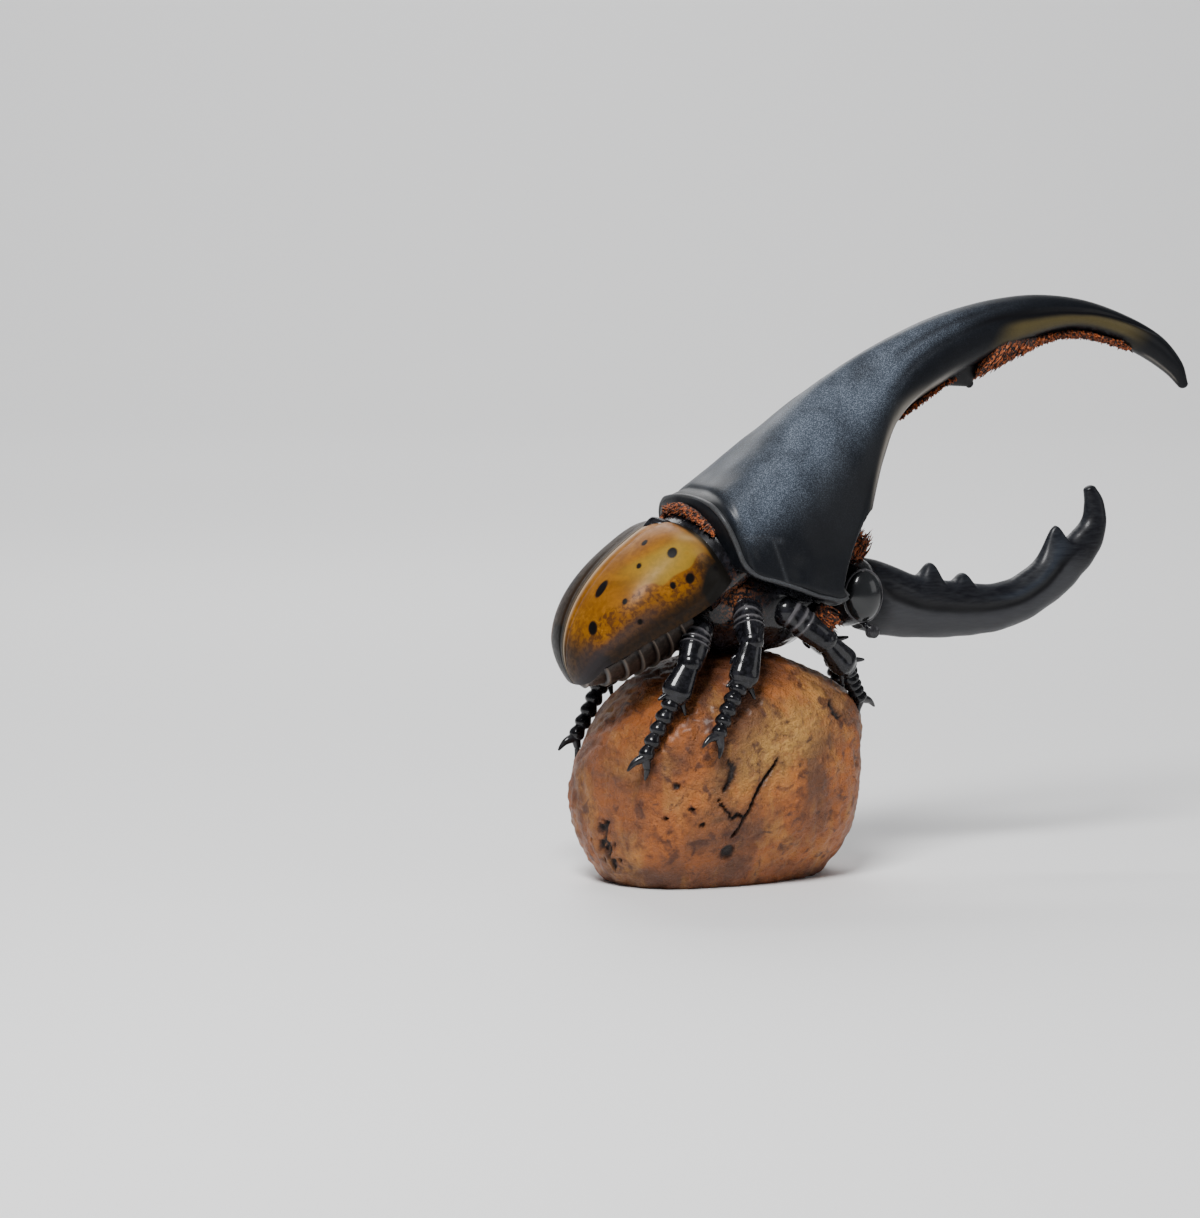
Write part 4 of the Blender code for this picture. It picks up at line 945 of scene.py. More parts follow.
def case_grid(hand):
    """One wing case: its arc over a quarter turn, closed along the deck plane and up the seam,
    with its painted marks."""
    rows, arc, floor_columns, wall = 250, 150, 20, 16
    run = (1 - np.cos(np.linspace(0.012, math.pi - 0.012, rows))) / 2
    back = (-CASE_FRONT + (CASE_LENGTH + CASE_FRONT) * run)[:, None]
    turn = np.linspace(0, 1, arc) ** 1.05
    across, up = case_arc(back, turn)
    rim = bell(turn - 0.945, 0.022) * window(back, -3, 4, 30, 35)
    seam = bell(turn - 0.055, 0.02) * smooth(back, -5, 0)
    lift = 0.28 * rim + 0.25 * bell(back + 5.2, 0.55) - 0.20 * seam
    side = np.sin(turn * math.pi / 2)
    raised = CASE_EDGE_LIFT * window(back, 4, 24, 30, 35.2)
    level = np.linspace(1, 0, floor_columns + 2)[1:-1]
    across = np.concatenate([across + lift * side, case_across(back, level),
                             np.full((rows, wall), SEAM_HALF_GAP)], 1)
    up = np.concatenate([up + lift * (1 - side) + raised * side ** 4, raised * level,
                         case_height(back) * np.linspace(0, 1, wall + 1)[:-1]], 1)
    grid = in_body(-back, hand * across, up)

    share = np.concatenate([turn, np.ones(floor_columns), np.zeros(wall)])
    wave = ripple(grid, 7.0, 5) * 0.05
    bound = 0.72 - 0.0106 * back + wave
    olive = smooth(share, bound - 0.42, bound - 0.22) * smooth(share, bound + 0.012, bound - 0.012)
    lower = smooth(share, bound - 0.02, bound + 0.06)
    dark = (0.92 * smooth(share, 0.80, 0.93) + 0.8 * smooth(back, 28.5, 33.0)
            + smooth(back, -2.0, -3.2) + 0.9 * smooth(share, 0.62, 0.80) * smooth(back, 6, 0))
    # The left case is darker near the seam: painted shade.
    if hand > 0:
        dark = dark + 0.93 * smooth(share, 0.55, 0.30)
    grey = (0.75 * bell(share - 0.83, 0.07) * smooth(back, 10, 20)
            + 0.55 * smooth(back, 28, 31) * smooth(share, 0.35, 0.6))
    # Pale suture line: a painted highlight, stronger on the right case.
    suture = np.where(np.arange(len(share)) < arc + floor_columns, 1.0, 0.3) * bell(share, 0.016)
    return grid, {
        "spot": case_spots(grid, hand),
        "olive": olive * window(back, -4, 2, 8, 20),
        # Cream patch near the front: a painted highlight.
        "cream": 0.28 * bell(back + 1.2 + wave * 20, 2.6) * bell(share - 0.47 + wave, 0.15),
        "mottle": np.clip(0.25 + lower * 0.85 + 0.6 * smooth(back, 22, 32), 0, 1) * (share > 0.02),
        "dark": np.clip(dark, 0, 1),
        "grey": np.clip(grey, 0, 0.85),
        "pale": suture * smooth(back, -4.5, -2) * (0.60 if hand < 0 else 0.15),
    }


def crest_place(place, level, hand):
    """Points of the pronotum's and horn's skin at places along it and levels of its height."""
    rows = catmull(CREST_STATIONS, place)
    waist = rows[:, 5]
    above = level >= waist
    rise = np.where(above, (level - waist) / (1 - waist), (waist - level) / waist)
    power = np.where(above, rows[:, 6], lower_power(waist))
    sine = np.clip(rise, 0, 1) ** (power / 2)
    across = np.sqrt(1 - sine ** 2) ** (2 / power) * rows[:, 4]
    low, top = spine(rows)
    points = low + (top - low) * level[:, None]
    points[:, 1] += hand * across
    return points


def scooped(grid):
    """Points inside the hollows under the horn pushed out to cylinders about cross axes."""
    grid = grid.copy()
    aside = smooth(np.abs(grid[..., 1:2]), 3.0, 12.5)
    for centre, inner, outer, less in SCOOPS:
        radius = inner + (outer - inner) * aside - less * smooth(grid[..., 2:3], 63.5, 60.5)
        off = grid[..., [0, 2]] - centre
        far = np.linalg.norm(off, axis=-1, keepdims=True)
        pushed = centre + off * radius / (far + 1e-9)
        grid[..., [0, 2]] = np.where(far < radius, pushed, grid[..., [0, 2]])
    return grid


def crest_skin(sizes):
    """Pronotum and upper horn in one skin, with grooves, folds, dents and painted marks, among them
    painted sheen and highlights.
    """
    places = np.concatenate([np.linspace(0, 6, 190, endpoint=False), np.linspace(6, 15, 330)])
    grid, level, sine = crest_ring(catmull(CREST_STATIONS, places), CREST_COLUMNS)
    s = places[:, None]
    out = normals(grid)
    edge, middle, rim = (read_line(table, s) for table in (FLANK_LINE, PEARL_SHEEN_BAND, PALE_RIM))
    ridges = ((bell(level - 0.74, 0.045) + bell(level - 0.90, 0.03))
              * window(s, 5.0, 6.2, 8.2, 9.6))
    line = (bell(level - edge - 0.05, 0.085) * window(s, 7.6, 9.4, 12.4, 13.2)
            * (sine > -0.5))
    flank = smooth(level, edge + 0.02, edge - 0.15) * window(s, 9.1, 9.8, 12.0, 12.9)
    hollow = smooth(level, 0.34, 0.12) * window(s, 7.2, 8.6, 12.2, 12.8)
    # Pearly band: a painted sheen along the upper side.
    band = bell(level - middle, 0.14 + 0.06 * smooth(s, 5.0, 2.0))
    band = ((band + 0.35 * smooth(level, middle, middle + 0.1))
            * window(s, 0.2, 0.8, 4.5, 10.5))
    fold = np.min([gap_to_line(grid[..., 0], grid[..., 2], corners)[0]
                   for corners in PRONOTUM_FOLDS], 0)
    fold = bell(fold, 0.38)
    dents = (bell(s - 0.9, 0.25) * bell(level - 0.30, 0.10)
             + bell(s - 2.1, 0.3) * bell(level - 0.16, 0.06))
    lift = (ripple(grid, 9.0, 21) * 0.07 * smooth(s, 5.5, 3.5) + 0.10 * fold
            - sizes.groove_depth / MM * (0.6 * ridges + 0.9 * line + 0.35 * flank)
            - 0.55 * dents - 0.2 * hollow - 0.4 * bell(s - 0.42, 0.10))
    grid = scooped(grid + out * lift[..., None])
    grid[..., 1] *= 1 - 0.35 * smooth(level, 0.30, 0.0) * window(s, 5.0, 6.5, 8.0, 9.0)
    # Pale rim: part pale paint, part painted sheen.
    pale = bell(level - rim, 0.085) * window(s, 4.7, 5.4, 8.4, 9.0)
    hollow = hollow * (1 - pale)
    # Painted sheen over the pearly band, a little stronger on the folds.
    pearl_sheen = np.clip(band + 0.03 + 0.10 * fold, 0, 1)
    # Thin cream line on the tip's inner edge: a painted highlight.
    tip = bell(level - 0.06, 0.03) * window(s, 12.8, 13.2, 14.3, 14.8)
    fields = {
        "pearl_sheen": pearl_sheen * (1 - 0.9 * smooth(s, 9.0, 10.5) * smooth(level, 0.85, 0.6)),
        "line": np.clip(line * (1 - pale) * 0.9 + ridges * 0.5 + 0.8 * hollow, 0, 1),
        "flank": flank * 0.9 * (1 - hollow),
        # Cream: the tip's painted highlight, a faint one on the folds, and the pale rim with its
        # painted sheen.
        "cream": 0.35 * tip + 0.03 * fold + 0.72 * pale,
    }
    return capped(grid, fields, (1.6, 4), (1.1, 6))


def crest_bead(sizes):
    """Rolled bead round the pronotum: it follows CREST_BEAD on one side, arches over the rear
    rim's top and thins out at both ends."""
    corners = path_of(CREST_BEAD, 150)
    right = scooped(crest_place(corners[:, 0], corners[:, 1], -1))
    x, y, z = right[-1]
    across = np.linspace(y, 0, 12)[1:]
    peak = catmull(CREST_STATIONS, [CREST_BEAD[-1][0]])[0, 1] - 0.1
    top = np.stack([x - 0.2 * (1 - (across / across[0]) ** 2), across,
                    z + (peak - z) * (1 - (across / y) ** 2)], -1)
    half = np.concatenate([right, top])
    path = np.concatenate([half, sided(half[:-1], -1)[::-1]])
    step = np.arange(len(path))
    full = np.minimum(1, np.minimum(step, step[::-1]) / 14.0)
    grid = tube(path, sizes.bead_radius / MM * (0.35 + 0.65 * full), 16)
    # The bead takes some painted sheen and a little painted highlight.
    fields = {"pearl_sheen": 0.25, "line": 0.0, "flank": 0.0, "cream": 0.08}
    return capped(grid, fields, (0.4, 3), (0.4, 3))


def horn_tooth():
    """Blunt tooth under the upper horn, from leaning ellipses that shrink downwards."""
    x, z, long, wide = path_of(HORN_TOOTH, 40).T[..., None]
    turn = circle(48)
    along = long * np.cos(turn)
    grid = np.stack([x + along * math.cos(HORN_TOOTH_LEAN), wide * np.sin(turn),
                     z + along * math.sin(HORN_TOOTH_LEAN)], -1)
    return domed(grid, 0.9), {"pearl_sheen": 0.0, "line": 0.8, "flank": 0.0, "cream": 0.0}


def head_horn_grid(sizes):
    """Lower horn with a groove along each side. Its teeth rise as exp(-(step / width)^2.5)."""
    s = np.linspace(0, 11, 420)[:, None]
    rows = catmull(HEAD_HORN_STATIONS, s[:, 0])
    rows = np.concatenate([rows, np.full((len(rows), 2), (HEAD_HORN_WAIST, 2.0))], 1)
    grid, level, _ = crest_ring(rows, 132)
    out = normals(grid)
    middle = read_line(HEAD_HORN_GROOVE, s)
    groove = bell(level - middle, 0.085) * window(s, 0.1, 0.8, 6.4, 7.4)
    below = smooth(level, middle, middle - 0.08) * window(s, 0.4, 1.2, 6.4, 7.6)
    brow = bell(level - middle - 0.16, 0.08) * window(s, 0.4, 1.4, 6.6, 7.6)
    lift = (-1.3 * sizes.groove_depth / MM * groove - 0.35 * below + 0.25 * brow
            + ripple(grid, 7.0, 31) * 0.10)
    grid = grid + out * lift[..., None]
    tooth = sum(height * np.exp(-(np.abs(s - at) / np.where(s < at, behind, ahead)) ** 2.5)
                for at, height, behind, ahead in HEAD_HORN_TEETH) * smooth(level, 0.68, 0.98)
    grid[..., 2] += tooth
    grid[..., 1] *= 1 - 0.10 * tooth
    fields = {
        "line": groove * 0.95,
        # Painted sheen above the groove and along the top.
        "pearl_sheen": brow * 0.5 * smooth(s, 3.6, 5.2) + 0.12 * smooth(level, 0.8, 0.98),
        "cream": below * 0.40,
    }
    return capped(grid, fields, (2.0, 5), (1.0, 7))


def head_grids():
    """Head between the horns, with the rims of its eyes."""
    skull = ball(HEAD_CENTRE, HEAD_RADII)
    skull = skull + normals(skull) * (ripple(skull, 5.0, 41) * 0.12)[..., None]
    shells = [(skull, PLAIN)]
    turn = np.linspace(0, math.tau, 64)
    x, y, z = EYE_CENTRE
    for _, hand in SIDES:
        rim = np.stack([x + EYE_RADII[0] * 0.98 * np.cos(turn), np.full(64, hand * (y + 0.5)),
                        z + EYE_RADII[2] * 0.98 * np.sin(turn)], -1)
        # Eye rims in a pale tone, part rim paint and part painted highlight.
        shells.append((tube(rim, np.full(64, 0.30), 12, up=(0.0, 1.0, 0.0)), {"pale": 0.30}))
    return shells


def feeler_grids(hand):
    """A feeler: beaded stem and a club of three flat leaves side by side."""
    stem = path_of([(31.0, 6.4, 57.0), (31.8, 8.6, 55.2), (32.8, 9.6, 53.9)], 40)
    knots = 0.62 + 0.16 * np.abs(np.sin(np.linspace(0, math.pi * 5, 40)))
    shells = [capped(tube(stem, knots, 20), PLAIN, (0.3, 3), (0.3, 3))]
    for k in (-1, 0, 1):
        leaf = ball((33.4 + 0.2 * k, 10.2 + 0.48 * k, 53.1), (1.35, 0.42, 1.45), 20, 28)
        shells.append((leaf, {"pale": 0.08}))
    return [(sided(grid, hand), fields) for grid, fields in shells]


def thorax_grids():
    """Chest: an egg under the pronotum and a neck that fills the wing cases' front opening."""
    chest = ball(THORAX_CENTRE, THORAX_RADII, 60, 96)
    chest[..., 2] += np.minimum(chest[..., 2] - THORAX_CENTRE[2], 0) * THORAX_SAG
    chest = chest + normals(chest) * (ripple(chest, 6.0, 51) * 0.20)[..., None]
    turn = circle(96)
    ahead = np.linspace(-4.0, 12.0, 40)[:, None]
    size = 1 - 0.05 * (ahead / 12.0) ** 2
    up = np.where(np.sin(turn) > 0, 14.4, 6.0) * np.sin(turn) * size
    neck = in_body(ahead, 15.0 * np.cos(turn) * size, up)
    neck = capped(neck, {}, (1.0, 4), (1.0, 4))[0]
    shells = []
    for grid in (chest, neck):
        off = grid - FLANK_HAIR
        off[..., 1] = np.abs(grid[..., 1]) - FLANK_HAIR[1]
        far = np.linalg.norm(off / FLANK_HAIR_REACH, axis=2)
        shells.append((grid, {**PLAIN, "rust": bell(far, 0.9)}))
    return shells


def belly_grid():
    """Abdomen in rings: each swells as share^1.6 towards its rear edge, and the whole tapers as
    (1 - share^3)^(1/2); the deck side is flat."""
    share = np.linspace(0, 0.995, 240)[:, None]
    ahead = BELLY_FRONT - share * (CASE_LENGTH - 1.2 + BELLY_FRONT)
    phase = (share * BELLY_SEGMENTS) % 1.0
    ridge = 0.85 * phase ** 1.6 * smooth(phase, 1.0, 0.93)
    taper = np.sqrt(1 - share ** 3)
    half = BELLY_HALF_WIDTH * taper - 0.5 + ridge
    deep = (BELLY_DEPTH - 2.6 * share) * np.maximum(taper, 0.3) - 0.5 + ridge
    turn = np.linspace(0, math.pi, 110)
    flat = np.linspace(-1, 1, 22)[1:-1]
    side = np.concatenate([half * np.cos(turn), half * flat], 1)
    raised = 0.8 * CASE_EDGE_LIFT * window(-ahead, 4, 24, 30, 35.2)
    under = -BELLY_GAP - deep * np.sin(turn) + raised * np.cos(turn) ** 2
    over = -BELLY_GAP + raised * np.abs(flat) ** 1.2
    grid = in_body(ahead, side, np.concatenate([under, over], 1))
    fields = {
        # Pale ring edges: painted highlights.
        "pale": bell(phase - 0.90, 0.045) * 0.42,
        "dark": np.clip(smooth(phase, 0.22, 0.02) + smooth(phase, 0.95, 0.98), 0, 1),
    }
    return capped(grid, fields, (0.6, 3), (0.8, 6))


def limb(joints, radii, ridge, ends=(1.2, 1.2), rings=0.0, tone=0.0):
    """A tube along a smooth path with three long ridges and domed ends. Rings of a given height
    rise on it as bell curves, and take a pale tone that is a painted highlight."""
    path = path_of(joints, 70)
    share = np.linspace(0, 1, 70)[:, None]
    raised = sum(bell(share - place, 0.016) for place in FEMUR_RINGS)
    radii = path_of(radii[:, None], 70) * (1 + rings * raised)
    radii = radii * (1 + ridge * np.cos(3 * circle(40) + 0.5))
    return capped(tube(path, radii, 40), {"pale": tone * raised}, (ends[0], 6), (ends[1], 6))


def spike(points, first, last, rows, columns, reach):
    """A curved thorn: a tube that thins evenly from one radius to another, with a domed point."""
    return domed(tube(path_of(points, rows), np.linspace(first, last, rows), columns), reach, 4)


def leg_grids(joints, hand):
    """A leg in three groups: ball joint and femur, tibia with spurs, and beaded tarsus with claws.
    The tarsus radius is r * (0.74 + 0.40 * sin^0.7) over each of its beads and thins out."""
    hip, coxa, knee, ankle, toe = (np.asarray(place, float) for place in joints)
    down = unit(ankle - knee)
    swing = unit(toe - ankle)
    across, splay = (unit(np.cross(way, (0.0, 1.0, 0.0))) for way in (down, swing))
    ahead = unit(np.cross(np.cross(down, swing), down))
    thigh = unit(knee - coxa)
    upper = [
        limb([hip, coxa - thigh * 0.6, (coxa + knee) / 2, knee - thigh * 0.1],
             FEMUR_RADIUS * np.array([0.95, 1.0, 1.05, 0.86]), 0.04, (1.5, 1.6),
             RING_HEIGHT, RING_HIGHLIGHT),
        (ball(coxa - thigh * 1.2, (FEMUR_RADIUS * 1.12,) * 3, 30, 44), PLAIN),
        (ball(knee, (TIBIA_RADIUS * 0.90,) * 3, 24, 36), PLAIN),
    ]
    middle = [limb([knee - down * 0.4, knee + down * 1.6, (knee + ankle) / 2,
                    ankle - down * 1.4, ankle + down * 0.2],
                   TIBIA_RADIUS * np.array([0.72, 0.80, 0.96, 1.08, 0.80]), 0.08)]
    for side, reach in ((1, 4.0), (-1, 3.2)):
        root = ankle - down * 1.5
        peak = ankle + down * 1.8 + across * side * reach
        bent = [root + across * side * 0.8, (root + peak) / 2 + across * side * 0.4, peak]
        middle.append((spike(bent, 1.15, 0.32, 18, 18, 0.3), PLAIN))
    bent = [knee + down * 3.6 + ahead * 1.4, knee + down * 4.6 + ahead * 2.8,
            knee + down * 6.0 + ahead * 3.3]
    middle.append((spike(bent, 0.9, 0.28, 14, 16, 0.25), PLAIN))
    t = np.linspace(0, 1, 120)
    bead = np.sin(math.pi * (t * TARSUS_BEADS % 1.0) ** 1.5) ** 0.7
    radius = TARSUS_RADIUS * (1.12 - 0.22 * t) * (0.74 + 0.40 * bead)
    path = ankle + (toe - ankle) * t[:, None] + np.sin(math.pi * t)[:, None] * ahead * 0.35
    lower = [capped(tube(path, radius, 28), PLAIN, (0.8, 5), (0.9, 5))]
    for side in (1, -1):
        bent = [toe - swing * 0.4,
                toe + CLAW_LENGTH * (swing * 0.40 + splay * side * 0.40),
                toe + CLAW_LENGTH * (swing * 0.92 + splay * side * 0.55)]
        lower.append((spike(bent, 1.25, 0.25, 24, 20, 0.2), {"pale": 0.05}))
    return [[(sided(grid, hand), fields) for grid, fields in group]
            for group in (upper, middle, lower)]


def scutellum_grid():
    """Small rounded triangle between the wing cases' fronts, domed along and across."""
    turn = circle(72)
    size = (1 + 0.16 * np.cos(3 * turn)) / 1.16
    share = np.sin(np.linspace(0.08, math.pi - 0.08, 26))[:, None]
    lift = np.linspace(0.9, -2.4, 26)[:, None] + 0.35 * (1 - share)
    middle, half = (SCUTELLUM_AHEAD + SCUTELLUM_BACK) / 2, (SCUTELLUM_AHEAD - SCUTELLUM_BACK) / 2
    along = middle - half * np.cos(turn) * size * share
    side = SCUTELLUM_HALF * np.sin(turn) * size * share
    return in_body(along, side, case_height(-along * 0.9) + lift), PLAIN


def bristle_mesh(name, roots, tips, bend, width, places):
    """Bristles as bent cones: each runs from root to tip, bowed by bend * 4t(1 - t), with radius
    width * (1 - 0.9t)^0.7 and a closed root, and has a patch of the map to itself."""
    count, rows, columns = len(roots), BRISTLE_ROWS, BRISTLE_COLUMNS
    t = np.linspace(0, 0.94, rows)
    centres = (roots[:, None] + (tips - roots)[:, None] * t[:, None]
               + bend[:, None] * (4 * t * (1 - t))[:, None])
    way = unit(np.gradient(centres, axis=1))
    across = unit(np.cross(way, np.array([0.31, 0.42, 0.85])))
    radii = np.repeat((width[:, None] * (1 - 0.9 * t) ** 0.7)[..., None], columns, -1)
    rings = rings_round(centres, across, np.cross(way, across), radii)
    points = np.concatenate([rings.reshape(count, -1, 3), roots[:, None], tips[:, None]], 1)
    base = (np.arange(count) * points.shape[1])[:, None, None]
    points = points.reshape(-1, 3)
    quads = (grid_faces(rows, columns) + base).reshape(-1, 4)
    fans = (end_fans(rows, columns) + base).reshape(-1, 3)
    rise = np.concatenate([np.repeat(t, columns), [0.0, 1.0]])
    around = np.concatenate([np.tile(np.arange(columns), rows) / columns, [0.5, 0.5]])
    where = (places[:, None] + BRISTLE_PATCH * np.stack([around, rise], -1)).reshape(-1, 2)
    return mesh_of(name, points, *outward(points, quads, fans), {"rise": np.tile(rise, count)},
                   ("OFBake", where))


def grow(name, sizes, colours, root_of, tip_of):
    """Adds a piece of bristles. Each has two shares drawn at random, a root and a tip from them,
    and a sideways scatter; the shares are also its place in the map."""
    count, spread, offset, black = GROWTH[name]
    draw = np.random.default_rng(sizes.seed + offset)
    count = int(count * sizes.bristle_share)
    a, b = draw.random(count), draw.random(count)
    roots, tips = root_of(a, b), tip_of(a, b)
    tips = tips + draw.normal(0, spread, tips.shape)
    length = np.linalg.norm(tips - roots, axis=1, keepdims=True)
    tips = roots + (tips - roots) * draw.uniform(0.72, 1.0, (count, 1))
    bend = draw.normal(0, 0.06, (count, 3)) * length
    width = sizes.bristle_width / MM * draw.uniform(0.6, 1.05, count)
    mesh = bristle_mesh(name, roots, tips, bend, width, np.stack([a, b], -1) * MAP_SHARE)
    finish = bristle_paint(colours, name, black)
    place_piece(f"{name}_bristles", mesh, finish, (name,), BRISTLE_CREASE)


def arch_place(a, out, ahead):
    """A point at share a round the pronotum's rear rim, moved outwards and ahead."""
    angle = FRINGE_START + a * FRINGE_TURN
    return in_body(FRINGE_AHEAD + FRINGE_LEAN * np.sin(angle) + ahead,
                   (FRINGE_HALF_WIDTH + out) * np.cos(angle), (FRINGE_HEIGHT + out) * np.sin(angle))


def arch_roots(a, b):
    """Bristle roots round the pronotum's rear rim: a sets the angle, b how far in and behind."""
    return arch_place(a, -0.2 - 0.8 * b, 0.2 - 0.8 * b)


def arch_tips(a, b):
    """Tips of the rim's bristles: further back, a little outside the wing cases. They are
    shorter towards both ends of the arch."""
    full = np.sin(math.pi * (0.02 + 0.96 * a)) ** 0.8
    return arch_place(a, (1.0 - 1.5 * b) * full - 0.3, -0.6 - (1.1 + 0.6 * b) * full)


def brush_ends(first, last, reaches):
    """Functions for the roots and tips of a brush under the horn, between two places on it. The
    roots climb each flank up to a level that falls towards the tip."""
    def roots(a, b):
        place = first + (last - first) * a
        across = 2 * b - 1
        level = read_line(BRUSH_EDGE, place) * np.abs(across)
        return crest_place(place, level, np.sign(across)) * (1, 0.86, 1)

    def tips(a, b):
        rows = catmull(CREST_STATIONS, first + (last - first) * a)
        across = 2 * b - 1
        low, top = spine(rows)
        reach = read_line(reaches, a) * (1 - 0.85 * across ** 2)
        side = across * np.minimum(BRUSH_HALF_WIDTH * 1.5, rows[:, 4] * 0.75)
        return low - unit(top - low) * reach[:, None] + np.stack([0 * a, side, 0 * a], -1)

    return roots, tips


def tuft_ends(start, end, radius, hand=1):
    """Functions for the roots and tips of a tuft between two places, on a patch of a radius."""
    start, end = sided(start, hand), sided(end, hand)
    way = unit(end - start)
    side = unit(np.cross(way, (0.3, 0.1, 0.9)))
    other = np.cross(way, side)

    def around(a, b, size):
        angle, far = math.tau * a[:, None], np.sqrt(b)[:, None] * size
        return (side * np.cos(angle) + other * np.sin(angle)) * far

    def roots(a, b):
        return start + around(a, b, radius)

    def tips(a, b):
        return end + around(a, b, radius * 0.8)

    return roots, tips


def settings():
    """The sizes and colours that the panel shows."""
    return bpy.context.scene.beetle_sizes, bpy.context.scene.beetle_colours


class BEETLE_OT_boulder(bpy.types.Operator):
    """Adds the painted boulder that the beetle climbs over"""
    bl_idname = "beetle.boulder"
    bl_label = "Boulder"

    def execute(self, context):
        sizes, colours = settings()
        add_shells("boulder_skin", [boulder_grid(sizes)], boulder_paint(colours),
                   ("base_rock",), ROCK_CREASE)
        return {"FINISHED"}


class BEETLE_OT_wing_cases(bpy.types.Operator):
    """Adds the two wing cases"""
    bl_idname = "beetle.wing_cases"
    bl_label = "Wing cases"

    def execute(self, context):
        paint = case_paint(settings()[1])
        for side, hand in SIDES:
            add_shells(f"wing_case_{side}", [case_grid(hand)], paint,
                       (f"elytron_{side}",))
        return {"FINISHED"}


class BEETLE_OT_crest(bpy.types.Operator):
    """Adds the pronotum with the upper horn"""
    bl_idname = "beetle.crest"
    bl_label = "Pronotum and upper horn"

    def execute(self, context):
        sizes, colours = settings()
        shells = [crest_skin(sizes), crest_bead(sizes), horn_tooth()]
        add_shells("crest_skin", shells, horn_paint(colours),
                   ("pronotum", "thoracic_horn_shaft", "thoracic_horn_tip"))
        return {"FINISHED"}


class BEETLE_OT_head_horn(bpy.types.Operator):
    """Adds the lower horn with its teeth"""
    bl_idname = "beetle.head_horn"
    bl_label = "Lower horn"

    def execute(self, context):
        sizes, colours = settings()
        add_shells("head_horn_skin", [head_horn_grid(sizes)], head_horn_paint(colours),
                   ("head_horn_shaft", "head_horn_hook"))
        return {"FINISHED"}


class BEETLE_OT_head(bpy.types.Operator):
    """Adds the head with its eyes and feelers"""
    bl_idname = "beetle.head"
    bl_label = "Head"

    def execute(self, context):
        black = shell_paint(settings()[1])
        add_shells("head_skin", head_grids(), black, ("head",))
        gloss = eye_paint()
        for side, hand in SIDES:
            eye = ball(sided(EYE_CENTRE, hand), EYE_RADII)
            add_shells(f"eye_ball_{side}", [(eye, {})], gloss, (f"eye_{side}",))
            add_shells(f"feeler_{side}", feeler_grids(hand), black,
                       (f"antenna_{side}",))
        return {"FINISHED"}


class BEETLE_OT_trunk(bpy.types.Operator):
    """Adds the chest, the abdomen and the scutellum"""
    bl_idname = "beetle.trunk"
    bl_label = "Chest and abdomen"

    def execute(self, context):
        black = shell_paint(settings()[1])
        add_shells("chest_skin", thorax_grids(), black, ("thorax",))
        add_shells("abdomen_skin", [belly_grid()], belly_paint(), ("abdomen",))
        add_shells("scutellum_skin", [scutellum_grid()], black, ("scutellum",))
        return {"FINISHED"}


class BEETLE_OT_legs(bpy.types.Operator):
    """Adds the six legs"""
    bl_idname = "beetle.legs"
    bl_label = "Legs"

    def execute(self, context):
        black = shell_paint(settings()[1])
        for side, hand in SIDES:
            for row, joints in LEG_JOINTS.items():
                if (row, side) == ("front", "left"):
                    joints = LEFT_FRONT
                for shells, link in zip(leg_grids(joints, hand), ("femur", "tibia", "tarsus")):
                    name = f"leg_{row}_{side}_{link}"
                    add_shells(f"{name}_skin", shells, black, (name,))
        return {"FINISHED"}


class BEETLE_OT_bristles(bpy.types.Operator):
    """Adds the bristles of the rim, the horn's brushes and the tufts"""
    bl_idname = "beetle.bristles"
    bl_label = "Bristles"

    def execute(self, context):
        ends = {"rim_fringe": (arch_roots, arch_tips)}
        ends.update((name, brush_ends(*brush)) for name, brush in BRUSHES.items())
        ends["throat_tuft"] = tuft_ends(*THROAT_TUFT)
        for side, hand in SIDES:
            ends[f"chest_tuft_{side}"] = tuft_ends(*CHEST_TUFT, hand)
        for name, functions in ends.items():
            grow(name, *settings(), *functions)
        return {"FINISHED"}


def aimed(place, target, twist=(0.0, 0.0, 1.0)):
    """Rotation and place of a camera or lamp that looks from one place to another."""
    back = (Vector(place) - Vector(target)).normalized()
    right = Vector(twist).cross(back).normalized()
    turn = Matrix((right, back.cross(right), back)).transposed()
    return Matrix.Translation(Vector(place)) @ turn.to_4x4()


def add_stage(name, data):
    """Adds an object that belongs to the stage, not to the model."""
    obj = bpy.data.objects.new(name, data)
    bpy.context.scene.collection.objects.link(obj)
    return obj


def floor_mesh():
    """Strip of floor across the view that turns up into a wall on a quarter circle."""
    turn = np.linspace(0, math.pi / 2, 24)
    run = np.concatenate([[-FLOOR_REACH], SWEEP_START + np.sin(turn) * SWEEP_RADIUS,
                          [SWEEP_START + SWEEP_RADIUS]])
    rise = np.concatenate([[0.0], SWEEP_RADIUS - SWEEP_RADIUS * np.cos(turn), [WALL_TOP]])
    sine, cosine = math.sin(VIEW_AZIMUTH), math.cos(VIEW_AZIMUTH)
    points = [(side * cosine - ahead * sine, ahead * cosine + side * sine, up)
              for ahead, up in zip(run, rise) for side in (-FLOOR_REACH, 0.0, FLOOR_REACH)]
    faces = [(k, k + 1, k + 4, k + 3) for k in range(len(points) - 3) if k % 3 < 2]
    mesh = bpy.data.meshes.new("floor")
    mesh.from_pydata(points, [], faces)
    mesh.shade_smooth()
    return mesh


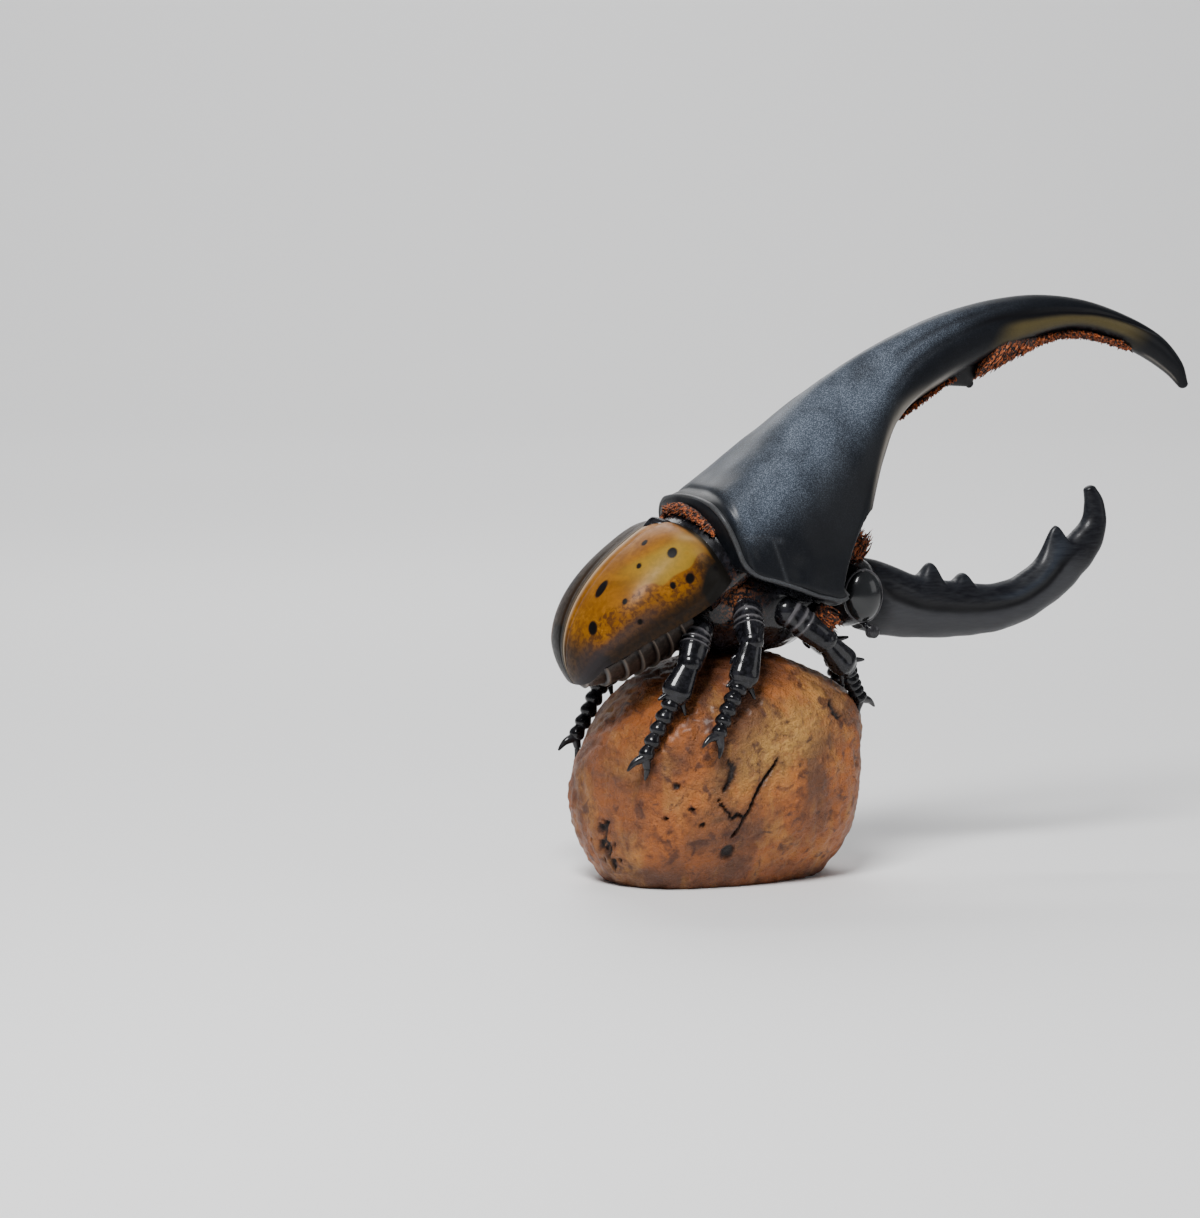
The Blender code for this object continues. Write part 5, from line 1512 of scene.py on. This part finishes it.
def add_camera(scene):
    """Camera that sees the frame's origin at its pixel and one pixel as PIXEL_SIZE."""
    right = Vector((math.cos(VIEW_AZIMUTH), math.sin(VIEW_AZIMUTH), 0))
    back = Vector((math.sin(VIEW_AZIMUTH) * math.cos(VIEW_ELEVATION),
                   -math.cos(VIEW_AZIMUTH) * math.cos(VIEW_ELEVATION), math.sin(VIEW_ELEVATION)))
    up = back.cross(right)
    width, height = IMAGE_SIZE
    target = right * (width / 2 - ORIGIN_PIXEL[0]) + up * (ORIGIN_PIXEL[1] - height / 2)
    target = target * PIXEL_SIZE * MM
    data = bpy.data.cameras.new("view")
    data.sensor_width = SENSOR_WIDTH
    data.sensor_fit = "HORIZONTAL"
    data.lens = SENSOR_WIDTH * VIEW_DISTANCE / (width * PIXEL_SIZE)
    data.clip_start, data.clip_end = 0.01, 20.0
    camera = bpy.data.objects.new("view", data)
    camera.matrix_world = aimed(target + back * VIEW_DISTANCE * MM, target, up)
    scene.collection.objects.link(camera)
    scene.camera = camera


class BEETLE_OT_stage(bpy.types.Operator):
    """Adds the floor, the lamps and the camera"""
    bl_idname = "beetle.stage"
    bl_label = "Studio"

    def execute(self, context):
        floor = add_stage("floor", floor_mesh())
        floor.data.materials.append(Paint("floor", rough=0.6).plain(FLOOR_COLOUR))
        add_camera(context.scene)
        for name, place, goal, size, power in LAMPS:
            light = bpy.data.lights.new(name, "AREA")
            light.size = size
            light.energy = power
            add_stage(name, light).matrix_world = aimed(place, goal)
        world = bpy.data.worlds.new("studio")
        world.use_nodes = True
        background = next(node for node in world.node_tree.nodes if node.type == "BACKGROUND")
        background.inputs["Color"].default_value = (*SKY_COLOUR, 1.0)
        background.inputs["Strength"].default_value = SKY_STRENGTH
        context.scene.world = world
        return {"FINISHED"}


STEPS = (
    BEETLE_OT_boulder, BEETLE_OT_wing_cases, BEETLE_OT_crest, BEETLE_OT_head_horn, BEETLE_OT_head,
    BEETLE_OT_trunk, BEETLE_OT_legs, BEETLE_OT_bristles, BEETLE_OT_stage,
)


class BEETLE_PT_panel(bpy.types.Panel):
    """Sizes, colours and build steps of the beetle"""
    bl_label = "Hercules beetle"
    bl_idname = "BEETLE_PT_panel"
    bl_space_type = "VIEW_3D"
    bl_region_type = "UI"
    bl_category = "Beetle"

    def draw(self, context):
        for group in settings():
            column = self.layout.column(align=True)
            for label in group.bl_rna.properties.keys():
                if label not in {"rna_type", "name"}:
                    column.prop(group, label)
        for step in STEPS:
            self.layout.operator(step.bl_idname)


CLASSES = (BeetleSizes, BeetleColours, *STEPS, BEETLE_PT_panel)


def register():
    """Registers the classes and ties the settings to the scene."""
    for cls in CLASSES:
        bpy.utils.register_class(cls)
    bpy.types.Scene.beetle_sizes = PointerProperty(type=BeetleSizes)
    bpy.types.Scene.beetle_colours = PointerProperty(type=BeetleColours)


def unregister():
    """Undoes register()."""
    del bpy.types.Scene.beetle_colours
    del bpy.types.Scene.beetle_sizes
    for cls in reversed(CLASSES):
        bpy.utils.unregister_class(cls)


def main():
    """Builds every piece."""
    register()
    for step in STEPS:
        group, name = step.bl_idname.split(".")
        getattr(getattr(bpy.ops, group), name)()


if __name__ == "__main__":
    main()
